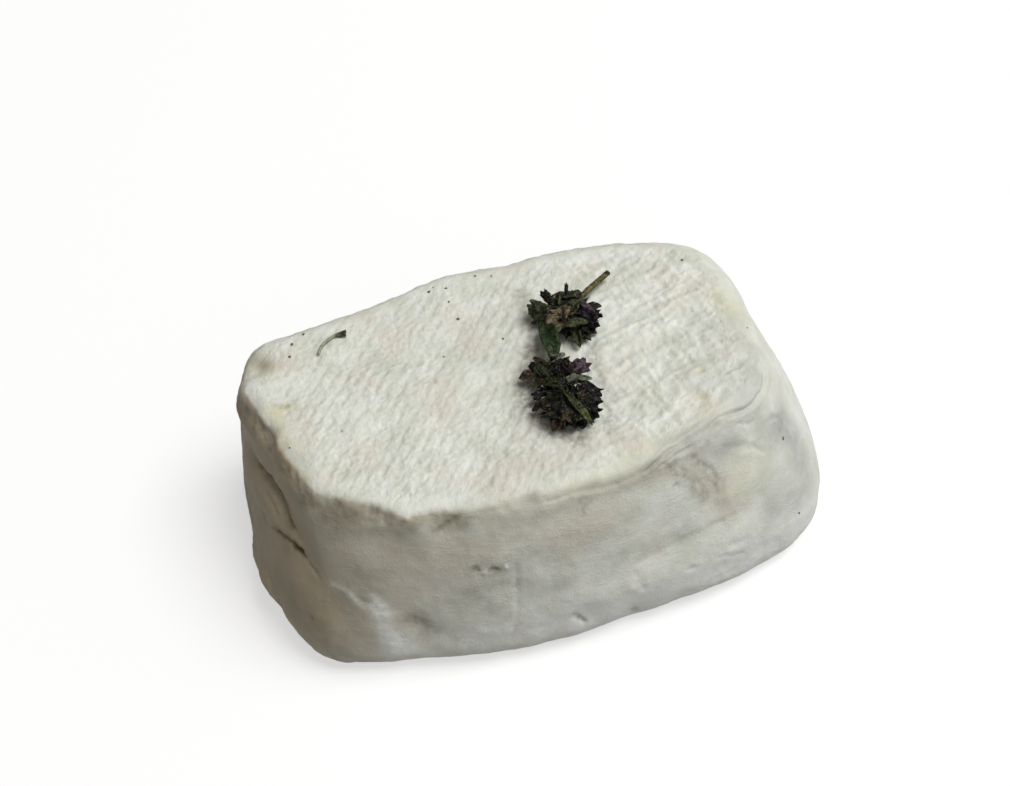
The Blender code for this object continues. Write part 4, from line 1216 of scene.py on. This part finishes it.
@dataclass
class ThymeSprig:
    """The sprig: a stem through two flower heads, packed with leaves, cups and small bracts.

    Places are in plan, and heights above the cheese's top face.
    """

    finish: HerbFinish = HerbFinish()
    base: float = 36.9
    stem_radius: float = 0.52
    leaf_thickness: float = 0.16
    bract_count: int = 70
    bract_seed: int = 11
    stem: tuple[Point, ...] = (
        (21.7, 18.2, 2), (16.1, 12.9, 2.6), (12.2, 8, 3), (8.4, 2.7, 2.4), (8.1, -2.2, 2.6),
        (8.7, -8.5, 3), (8.3, -14.7, 2.8),
    )
    heads: tuple[Head, ...] = (
        Head((12.4, 9.6, 2.8), (3.6, 3.4, 1.7)),
        Head((8.4, -6.3, 2.8), (3.2, 3.7, 1.7)),
        Head((8.8, -13.1, 2.9), (3.9, 3.7, 1.8)),
    )
    leaves: tuple[Leaf, ...] = (
        # the upper head
        Leaf((15.9, 11.7, 4), (9.8, 12.2, 3.9), 2.4, Herb.DARK_OLIVE),
        Leaf((11.7, 7.1, 4.1), (16.1, 10.7, 4), 2.6, Herb.OLIVE),
        Leaf((13, 8.4, 5.2), (8.4, 4.6, 1.8), 4.4, Herb.TURNED),
        Leaf((15.9, 4.6, 3.9), (10.8, 4.3, 4.2), 2, Herb.OLIVE),
        Leaf((14.2, 8.9, 3.5), (18.9, 8.5, 3.3), 2, Herb.GREEN_BLACK),
        Leaf((13, 6.2, 3), (13.4, 1.3, 1.2), 2, Herb.OLIVE),
        Leaf((15, 9.6, 4.3), (17.4, 6.4, 4.1), 1.1, Herb.PURPLE),
        Leaf((14.2, 5.4, 2.4), (15.6, 2.4, 1.3), 1.3, Herb.DARK_OLIVE),
        # the broad green one between the heads
        Leaf((7.8, 7.9, 3), (8.2, -3.3, 2.4), 3.5, Herb.GREEN),
        # the lower head
        Leaf((7, -2.8, 3.4), (10.5, -1.3, 3.2), 2, Herb.GREY_GREEN),
        Leaf((5.4, -2.2, 3.2), (7.8, -7.6, 3.8), 2.6, Herb.DARK_OLIVE),
        Leaf((6, -3, 3.4), (4.2, -6.8, 2.6), 1.8, Herb.OLIVE),
        Leaf((6.8, -4, 3.2), (4.9, 0.6, 1.8), 1.6, Herb.BROWN),
        Leaf((5.4, -4.7, 3), (1.6, -3.4, 1.4), 2.6, Herb.RED_BROWN),
        Leaf((8.2, -10.3, 4.8), (5.3, -7, 3.4), 2.4, Herb.DARK_OLIVE),
        Leaf((9.3, -8.3, 3.9), (14, -8.8, 3.5), 2, Herb.GREY_GREEN),
        Leaf((8.7, -11.6, 5), (10.8, -17, 4.4), 1.3, Herb.OLIVE),
        Leaf((9.3, -13, 5.1), (12.3, -18.2, 2.2), 1.5, Herb.BRIGHT_OLIVE),
        Leaf((11, -8.9, 3.9), (14.9, -12, 3.3), 1.1, Herb.GREEN_BLACK),
        Leaf((5.8, -12.3, 3), (2.7, -11.7, 1.5), 2, Herb.BROWN),
        Leaf((8.3, -15.4, 3.6), (5.4, -17.1, 1.5), 2.2, Herb.RED_BROWN),
    )
    cups: tuple[Cup, ...] = (
        # the upper head, from its left round to its lower right
        Cup((10.1, 9.4, 3.2), (6.6, 11.8, 3), 3.2, Herb.DARK_OLIVE),
        Cup((9.9, 8.8, 2.6), (6.6, 9.8, 2.2), 2.4, Herb.DARK_OLIVE),
        Cup((10.8, 10.1, 3.6), (9.2, 13.7, 4.1), 1.8, Herb.GREEN_BLACK),
        Cup((13, 11.3, 4.2), (13.4, 14.1, 4.7), 0.9, Herb.GREEN_BLACK),
        Cup((14.1, 8.1, 3.4), (17.4, 6.1, 2.8), 3.6, Herb.PURPLE_BLACK),
        Cup((13.9, 7.2, 2.8), (16.6, 4.6, 2.4), 3, Herb.PURPLE_BLACK),
        Cup((13.7, 6.4, 2.6), (15, 3.2, 2.1), 2.2, Herb.GREEN_BLACK),
        Cup((10.9, 6.8, 3), (12.1, 4.3, 2.3), 2.4, Herb.GREEN_BLACK),
        # the lower head's upper half
        Cup((5.9, -4, 3.4), (4.3, -2.4, 2.8), 1.6, Herb.PURPLE_BLACK),
        Cup((6.5, -6.5, 2.8), (4.8, -7.1, 2.3), 2.4, Herb.BROWN),
        Cup((8, -6.5, 3.4), (10, -5.8, 4.8), 3.6, Herb.PURPLE_BLACK),
        Cup((10.8, -5.6, 3.2), (13.5, -4.6, 3.1), 2.9, Herb.PURPLE),
        # its lower half, from the right round to the left
        Cup((10.9, -10.3, 3.8), (14.3, -12.5, 3), 2.6, Herb.PURPLE_BLACK),
        Cup((11, -11.3, 3), (13.6, -14.1, 2.7), 2.8, Herb.SOOT),
        Cup((10.7, -12.9, 2.8), (13, -16.1, 2.4), 2.8, Herb.GREEN_BLACK),
        Cup((9.7, -14.7, 3), (10.2, -17.4, 2.4), 2.8, Herb.GREEN_BLACK),
        Cup((8.5, -14.1, 3.2), (7.8, -16.7, 2.4), 3, Herb.BROWN),
        Cup((7.5, -12.9, 3.2), (5.8, -14.9, 2.4), 3, Herb.PURPLE_BLACK),
        Cup((7.3, -10.9, 3.2), (5.2, -12.4, 2.4), 3, Herb.DARK_OLIVE),
        Cup((7, -8.7, 3), (3.7, -9.4, 2.5), 1.7, Herb.PURPLE_BLACK),
    )

    def build(self) -> list[Object]:
        """Model the sprig.

        Returns:
            Its leaves, cups, bracts, packed middles and stem, one object of each kind.
        """
        leaves = [self._leaf(leaf, number) for number, leaf in enumerate(self.leaves)]
        return [join(leaves, "thyme_leaves"), self._cups(), self._bracts(), self._middles(), self._stem()]

    def dress(self, pieces: Iterable[Object]) -> None:
        """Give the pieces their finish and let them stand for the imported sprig."""
        material = self.finish.material()
        for piece in pieces:
            piece.data.materials.clear()
            piece.data.materials.append(material)
            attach(piece, BODY)
            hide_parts("thyme_sprig")

    def _place(self, point: Point) -> Vector:
        """Turn a point given above the top face into a place, in mm."""
        return Vector((point[0], point[1], point[2] + self.base))

    def _leaf(self, leaf: Leaf, number: int) -> Object:
        """Model one leaf.

        Args:
            leaf: Its measures.
            number: Its number, which varies its ripples.

        Returns:
            The leaf, in place.
        """
        root, tip = self._place(leaf.root), self._place(leaf.tip)
        length = (tip - root).length
        direction = (tip - root).normalized()
        side = direction.cross(UP).normalized()
        lift = side.cross(direction)
        bpy.ops.mesh.primitive_grid_add(x_subdivisions=16, y_subdivisions=8, size=1.0)
        piece = bpy.context.object
        piece.name = f"leaf_{number}"
        for vertex in piece.data.vertices:
            u, v = vertex.co.x + 0.5, vertex.co.y * 2
            end = 0.16 * (1 - u) + 0.06 * u
            swell = max(math.sin(math.pi * u**0.8), 0.0) ** 0.8
            edge = 1 + 0.30 * noise.noise(Vector((u * 6.0, v, number * 3.1)))
            half = 0.5 * leaf.width * (end + (1 - end) * swell) * edge
            bend = 0.55 * v * v + 0.30 * math.sin(7 * u + 2 * v + number)
            vein = -0.20 * bell(v, 0.18) + 0.08 * math.cos(22 * u - 8 * abs(v))
            curl = -0.45 * abs(v) ** 5
            crumple = 0.5 * noise.noise(Vector((u * 4.0, v * 1.5, number * 5.7)))
            rise = half * (bend + vein + curl + crumple) + 0.35 * length * u * (1 - u)
            sway = 0.10 * length * math.sin(math.pi * u) * noise.noise(Vector((0.0, 0.0, number * 2.3)))
            across = side * (half * v + sway)
            vertex.co = (root + direction * (length * u) + across + lift * rise) * MM
        finish_with(piece, "SOLIDIFY", thickness=self.leaf_thickness * MM, offset=0.0)
        finish_with(piece, "SUBSURF", levels=1, render_levels=1)
        tint(piece, leaf.herb.value)
        piece.data.shade_smooth()
        return piece

    def _cups(self) -> Object:
        """Model one ribbed, toothed cup and copy it to every calyx's place."""
        sides = 20
        bpy.ops.mesh.primitive_circle_add(vertices=sides, radius=0.18, fill_type="NGON")
        master = bpy.context.object
        edit_all(master)
        for step, spread in ((0.10, 1.75), (0.25, 1.38), (0.30, 1.05), (0.20, 0.98), (0.15, 1.12)):
            bpy.ops.mesh.extrude_region_move(TRANSFORM_OT_translate={"value": (0.0, 0.0, step)})
            bpy.ops.transform.resize(value=(spread, spread, 1.0))
        bpy.ops.mesh.delete(type="ONLY_FACE")
        bpy.ops.mesh.select_all(action="SELECT")
        bpy.ops.mesh.normals_make_consistent(inside=False)
        leave_edit()
        for vertex in master.data.vertices:
            turn = round(math.atan2(vertex.co.y, vertex.co.x) / (2 * math.pi) * sides) % sides
            if turn % 2:
                vertex.co.xy *= 0.93
            if vertex.co.z > 0.97:
                tooth = (0.22, 0.05, -0.06, 0.05)[turn % 4]
                vertex.co.z += tooth
                vertex.co.xy *= 1 + 0.2 * max(tooth, 0.0)
        finish_with(master, "SOLIDIFY", thickness=0.05, offset=-1.0)
        finish_with(master, "SUBSURF", levels=1, render_levels=1)
        cups = []
        for number, cup in enumerate(self.cups):
            root, mouth = self._place(cup.root), self._place(cup.mouth)
            piece = copy_of(master, f"cup_{number}")
            length = (mouth - root).length
            shape = Matrix.Diagonal((cup.width * MM, cup.width * MM, length * MM, 1.0))
            piece.data.transform(aim(root * MM, mouth * MM, root.x + root.y) @ shape)
            shrivel(piece, 0.9, 0.16 * cup.width)
            tint(piece, cup.herb.value)
            cups.append(piece)
        bpy.data.objects.remove(master)
        piece = join(cups, "thyme_cups")
        piece.data.shade_smooth()
        return piece

    def _bracts(self) -> Object:
        """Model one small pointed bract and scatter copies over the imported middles."""
        bpy.ops.mesh.primitive_grid_add(x_subdivisions=6, y_subdivisions=2, size=1.0)
        master = bpy.context.object
        for vertex in master.data.vertices:
            u, v = vertex.co.x + 0.5, vertex.co.y * 2
            half = 0.5 * (0.25 + 0.75 * math.sin(math.pi * u**0.7)) * (1 - 0.8 * u**4)
            vertex.co = Vector((0.18 * math.sin(2.4 * u) - 0.25 * half * abs(v), half * v, u))
        finish_with(master, "SOLIDIFY", thickness=0.10, offset=0.0)
        draw = random.Random(self.bract_seed)
        herbs = (Herb.GREEN_BLACK, Herb.DARK_OLIVE, Herb.PURPLE_BLACK, Herb.BROWN, Herb.SOOT,
                 Herb.DARK_OLIVE, Herb.OLIVE, Herb.RED_BROWN, Herb.GREY_GREEN)
        bracts = []
        for head in self.heads:
            middle = self._place(head.middle)
            for _ in range(self.bract_count):
                turn = draw.uniform(0.0, 2 * math.pi)
                rise = draw.uniform(-0.35, 0.95)
                flat = math.sqrt(1 - rise * rise)
                out = Vector((flat * math.cos(turn), flat * math.sin(turn), rise))
                root = middle + Vector(head.half_sizes) * out * 0.95
                around = out.cross(Vector((draw.gauss(0, 1), draw.gauss(0, 1), draw.gauss(0, 1))))
                heading = out * draw.uniform(0.2, 0.9) + around.normalized() * draw.uniform(0.4, 1.0)
                length = draw.uniform(1.0, 2.3)
                width = draw.uniform(0.45, 1.0)
                piece = copy_of(master, "bract")
                shape = Matrix.Diagonal((width * MM, width * MM, length * MM, 1.0))
                where = aim(root * MM, (root + heading) * MM, draw.uniform(0.0, 6.28))
                piece.data.transform(where @ shape)
                tint(piece, draw.choice(herbs).value)
                bracts.append(piece)
        bpy.data.objects.remove(master)
        piece = join(bracts, "thyme_bracts")
        piece.data.shade_smooth()
        return piece

    def _middles(self) -> Object:
        """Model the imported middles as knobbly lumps."""
        lumps = []
        for head in self.heads:
            bpy.ops.mesh.primitive_ico_sphere_add(subdivisions=4, radius=1.0)
            lump = bpy.context.object
            for vertex in lump.data.vertices:
                knob = noise.noise(vertex.co * 4.0 + Vector(head.middle))
                place = Vector(head.half_sizes) * vertex.co * (0.95 + 0.22 * knob)
                vertex.co = (self._place(head.middle) + place) * MM
            tint(lump, Herb.GREEN_BLACK.value)
            lumps.append(lump)
        piece = join(lumps, "thyme_middles")
        piece.data.shade_smooth()
        return piece

    def _stem(self) -> Object:
        """Model the stem as a tube that thickens at its joints and is dark at its cut end."""
        stem = tube(
            "thyme_stem", [self._place(point) for point in self.stem], self.stem_radius, (1.0, 1.15)
        )
        tip = self._place(self.stem[0]) * MM
        cut = Herb.CUT_END.value
        grade(stem, Herb.STEM.value, cut, lambda place: bell((place - tip).length / MM, 0.9))
        return stem


def shrivel(piece: Object, size: float, depth: float) -> None:
    """Crumple a dried piece.

    Args:
        piece: The piece.
        size: The size of the crumples, in mm.
        depth: How far they move it, in mm.
    """
    for vertex in piece.data.vertices:
        vertex.co += noise.noise_vector(vertex.co / (size * MM)) * (depth * MM)


def tube(name: str, places: Sequence[Vector], radius: float, swell: tuple[float, float]) -> Object:
    """Model a tube through places as a closed mesh with a tint.

    Args:
        name: The tube's name.
        places: The places that it runs through, in mm.
        radius: Its radius in mm.
        swell: Its radius at even and odd places, as shares of radius.

    Returns:
        The tube.
    """
    bpy.ops.curve.primitive_bezier_curve_add()
    guide = bpy.context.object
    guide.name = name
    curve = guide.data
    spline = curve.splines[0]
    spline.bezier_points.add(len(places) - len(spline.bezier_points))
    for number, (point, place) in enumerate(zip(spline.bezier_points, places)):
        point.co = place * MM
        point.handle_left_type = point.handle_right_type = "AUTO"
        point.radius = swell[number % 2]
    curve.resolution_u = 10
    curve.bevel_depth = radius * MM
    curve.bevel_resolution = 3
    curve.use_fill_caps = True
    only(guide)
    bpy.ops.object.convert(target="MESH")
    piece = bpy.context.object
    edit_all(piece)
    bpy.ops.mesh.remove_doubles(threshold=0.001 * MM)
    bpy.ops.mesh.normals_make_consistent(inside=False)
    leave_edit()
    for vertex in piece.data.vertices:
        wobble = noise.noise(vertex.co / MM * 1.8)
        vertex.co += vertex.normal * (0.12 * radius * MM * wobble)
    tint(piece, Herb.STEM.value)
    piece.data.shade_smooth()
    return piece


@dataclass
class StrayStalk:
    """The bit of dry stalk near the back left corner, with a forked dark tip."""

    finish: HerbFinish = HerbFinish(name="dry_stalk", dust="#B5B5A2", dust_share=0.4, blotch=(0.75, 1.15))
    base: float = 36.98
    radius: float = 0.27
    route: tuple[Point, ...] = (
        (-33.5, 13, 0.6), (-32.8, 14.8, 0.6), (-31.5, 16.2, 0.6), (-29.9, 17.1, 0.6), (-28, 17.6, 0.6),
    )
    fork: tuple[Point, ...] = ((-29.9, 17, 0.6), (-29.1, 16.7, 0.6), (-28.1, 16.6, 0.6))
    pale: str = "#9A9B89"
    dark: str = "#3A392C"
    darkens: tuple[float, float] = (-31.0, -28.6)

    def build(self) -> Object:
        """Model the stalk and its fork, and colour them from pale to dark.

        Returns:
            The stalk.
        """
        strands = []
        for name, route in (("stalk", self.route), ("fork", self.fork)):
            places = [Vector((x, y, z + self.base)) for x, y, z in route]
            strands.append(tube(name, places, self.radius, (1.0, 1.0)))
        stalk = join(strands, "dry_stalk")
        grade(stalk, self.pale, self.dark, lambda place: smooth_step(*self.darkens, place.x / MM))
        return stalk

    def dress(self, stalk: Object) -> None:
        """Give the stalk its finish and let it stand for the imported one."""
        stalk.data.materials.clear()
        stalk.data.materials.append(self.finish.material())
        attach(stalk, BODY)
        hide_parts("stray_stalk")


@dataclass
class HerbCrumbs:
    """Dark crumbs of herb stuck to the rind, each at a place on the top or on a wall, in mm."""

    finish: HerbFinish = HerbFinish(name="herb_crumbs", dust_share=0.1, blotch=(0.7, 1.1))
    crumbs: tuple[tuple[Point, float], ...] = (
        ((-11.7, 24.1, 37.2), 0.5), ((-10.8, 25.2, 37.2), 0.25), ((-8.4, 24.1, 37.2), 0.4),
        ((-2.6, 26.1, 37.1), 0.4), ((0.4, 25.3, 37.1), 0.35), ((-8.3, 20.5, 37.1), 0.3),
        ((-7.2, 15.8, 37), 0.55), ((0.3, 8.3, 37.1), 0.4), ((-10.9, 6.9, 36.9), 0.3),
        ((-38.9, 14.3, 37.1), 0.55), ((-38.4, 17.2, 37.2), 0.55), ((-36.1, 19.4, 37.2), 0.5),
        ((-40, -8.1, 37), 0.3), ((-30.7, -6.5, 37.2), 0.25), ((35.9, 19.6, 37.1), 0.4),
        ((43.5, 0, 36.5), 0.25), ((45.3, -18, 25.8), 0.5), ((46.6, -23.5, 10.9), 0.4),
    )
    herbs: tuple[Herb, ...] = (Herb.STEM, Herb.GREY_GREEN, Herb.TURNED)
    spread: float = 1.15

    def build(self, rind: Object) -> Object:
        """Model the crumbs on the rind.

        Args:
            rind: The finished rind that they stick to.

        Returns:
            All crumbs as one object.
        """
        surface = BVHTree.FromObject(rind, bpy.context.evaluated_depsgraph_get())
        pieces = []
        for number, (point, size) in enumerate(self.crumbs):
            place, normal, _, _ = surface.find_nearest(Vector(point) * MM)
            bpy.ops.mesh.primitive_ico_sphere_add(subdivisions=2, radius=0.5)
            crumb = bpy.context.object
            for vertex in crumb.data.vertices:
                ragged = 1 + 0.8 * noise.noise(vertex.co * 3.0 + Vector((number * 5.7, 0.0, 0.0)))
                vertex.co *= ragged * size * self.spread * MM
                vertex.co.z *= 0.5
            crumb.data.transform(aim(place, place + normal, number * 1.3))
            tint(crumb, self.herbs[number % len(self.herbs)].value)
            pieces.append(crumb)
        return join(pieces, "herb_crumbs")

    def dress(self, crumbs: Object) -> None:
        """Give the crumbs their finish."""
        crumbs.data.materials.clear()
        crumbs.data.materials.append(self.finish.material())
        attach(crumbs, BODY)


# The studio


@dataclass
class Studio:
    """A pale floor, a soft key light from the right, a sky that is brighter there, and a camera.

    Attributes:
        floor_size: The floor's side, in metres.
        key_direction: The way from the cheese to the key light.
        key_distance: How far away the key light hangs, in metres.
        key_size: The key light's side, in metres.
        key_power: The key light's power, in watts.
        sky: The sky's mean strength.
        sky_slope: How much stronger it is towards +X, +Y and +Z than on the mean.
        sky_shade: The sky's colour where it is dim.
        backdrop: How bright the sky looks behind the floor.
        camera_place: Where the camera stands, in mm.
        camera_pitch: How far it looks down, in degrees.
        camera_roll: How far the picture leans, in degrees.
        lens: Its focal length on a sensor 36 mm wide.
    """

    floor_size: float = 24.0
    floor_finish: FloorFinish = FloorFinish()
    key_direction: Point = (0.45, -0.12, 0.86)
    key_distance: float = 3.0
    key_size: float = 1.7
    key_power: float = 70.0
    sky: float = 0.20
    sky_slope: Point = (0.15, -0.16, 0.06)
    sky_shade: str = "#F3E6CC"
    backdrop: float = 0.95
    camera_place: Point = (-1.26, -197.13, 243.05)
    camera_pitch: float = 47.0
    camera_roll: float = 11.0
    lens: float = 57.03

    def build(self) -> None:
        """Set up the floor, the lights and the camera."""
        scene = bpy.context.scene
        scene.view_settings.view_transform = "Standard"
        bpy.ops.mesh.primitive_plane_add(size=self.floor_size)
        floor = bpy.context.object
        floor.name = "floor"
        floor.data.materials.append(self.floor_finish.material())
        # its light isn't thrown back onto the cheese
        floor.visible_diffuse = False
        self._key_light()
        self._sky()
        self._camera()

    def _key_light(self) -> None:
        """Hang the key light."""
        light = bpy.data.lights.new("key", "AREA")
        light.size = self.key_size
        light.energy = self.key_power
        key = bpy.data.objects.new("key", light)
        direction = Vector(self.key_direction).normalized()
        key.location = direction * self.key_distance
        key.rotation_euler = direction.to_track_quat("Z", "Y").to_euler()
        bpy.context.scene.collection.objects.link(key)

    def _sky(self) -> None:
        """Light the cheese from all sides, most from above and from the right."""
        world = bpy.data.worlds.new("studio")
        world.use_nodes = True
        tree = world.node_tree
        direction = add_node(tree, "TexCoord").outputs["Generated"]
        slope = add_node(
            tree,
            "VectorMath",
            {"operation": "DOT_PRODUCT", 1: self.sky_slope},
            {0: direction},
        ).outputs["Value"]
        raised = add_node(tree, "Math", {"operation": "ADD", 1: self.sky}, {0: slope}).outputs[0]
        strength = add_node(tree, "Math", {"operation": "MAXIMUM", 1: 0.0}, {0: raised}).outputs[0]
        colour = add_node(
            tree,
            "Mix",
            {"data_type": "RGBA", 6: linear(self.sky_shade), 7: (1.0, 1.0, 1.0, 1.0)},
            {0: add_node(
                tree,
                "MapRange",
                {"From Min": 0.05, "From Max": 0.35},
                {"Value": strength},
            ).outputs["Result"]},
        ).outputs[2]
        light = add_node(tree, "Background", links={"Color": colour, "Strength": strength})
        plain = add_node(tree, "Background", {"Strength": self.backdrop})
        plain.inputs["Color"].default_value = (1.0, 1.0, 1.0, 1.0)
        seen = add_node(tree, "LightPath").outputs["Is Camera Ray"]
        both = add_node(tree, "MixShader", links={0: seen, 1: light.outputs[0], 2: plain.outputs[0]})
        tree.links.new(both.outputs[0], tree.nodes["World Output"].inputs["Surface"])
        bpy.context.scene.world = world

    def _camera(self) -> None:
        """Stand the camera where the photograph was taken from."""
        pitch, roll = math.radians(self.camera_pitch), math.radians(self.camera_roll)
        ahead = Vector((0.0, math.cos(pitch), -math.sin(pitch)))
        level = Vector((1.0, 0.0, 0.0))
        upright = Vector((0.0, math.sin(pitch), math.cos(pitch)))
        right = level * math.cos(roll) - upright * math.sin(roll)
        top = level * math.sin(roll) + upright * math.cos(roll)
        turn = Matrix((right, top, -ahead)).transposed().to_4x4()
        lens = bpy.data.cameras.new("camera")
        lens.lens = self.lens
        lens.sensor_width = 36.0
        lens.clip_start = 0.01
        camera = bpy.data.objects.new("camera", lens)
        camera.matrix_world = Matrix.Translation(Vector(self.camera_place) * MM) @ turn
        bpy.context.scene.collection.objects.link(camera)
        bpy.context.scene.camera = camera


def report(piece: Object) -> None:
    """Log a finished piece's name and size."""
    piece.data.calc_loop_triangles()
    LOG.info("%s: %d triangles", piece.name, len(piece.data.loop_triangles))


def main() -> None:
    """Build and dress the cheese, the thyme, the stalk and the crumbs, then light them."""
    logging.basicConfig(level=logging.INFO, format="%(message)s")
    # without a seed, noise_vector would give other folds and cups in every run
    noise.seed_set(NOISE_SEED)
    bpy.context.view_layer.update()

    cheese = CheeseRind()
    rind = cheese.build()
    cheese.dress(rind)
    report(rind)

    sprig = ThymeSprig()
    herbs = sprig.build()
    sprig.dress(herbs)
    for herb in herbs:
        report(herb)

    stalk_maker = StrayStalk()
    stalk = stalk_maker.build()
    stalk_maker.dress(stalk)
    report(stalk)

    crumb_maker = HerbCrumbs()
    crumbs = crumb_maker.build(rind)
    crumb_maker.dress(crumbs)
    report(crumbs)

    Studio().build()


if __name__ == "__main__":
    main()
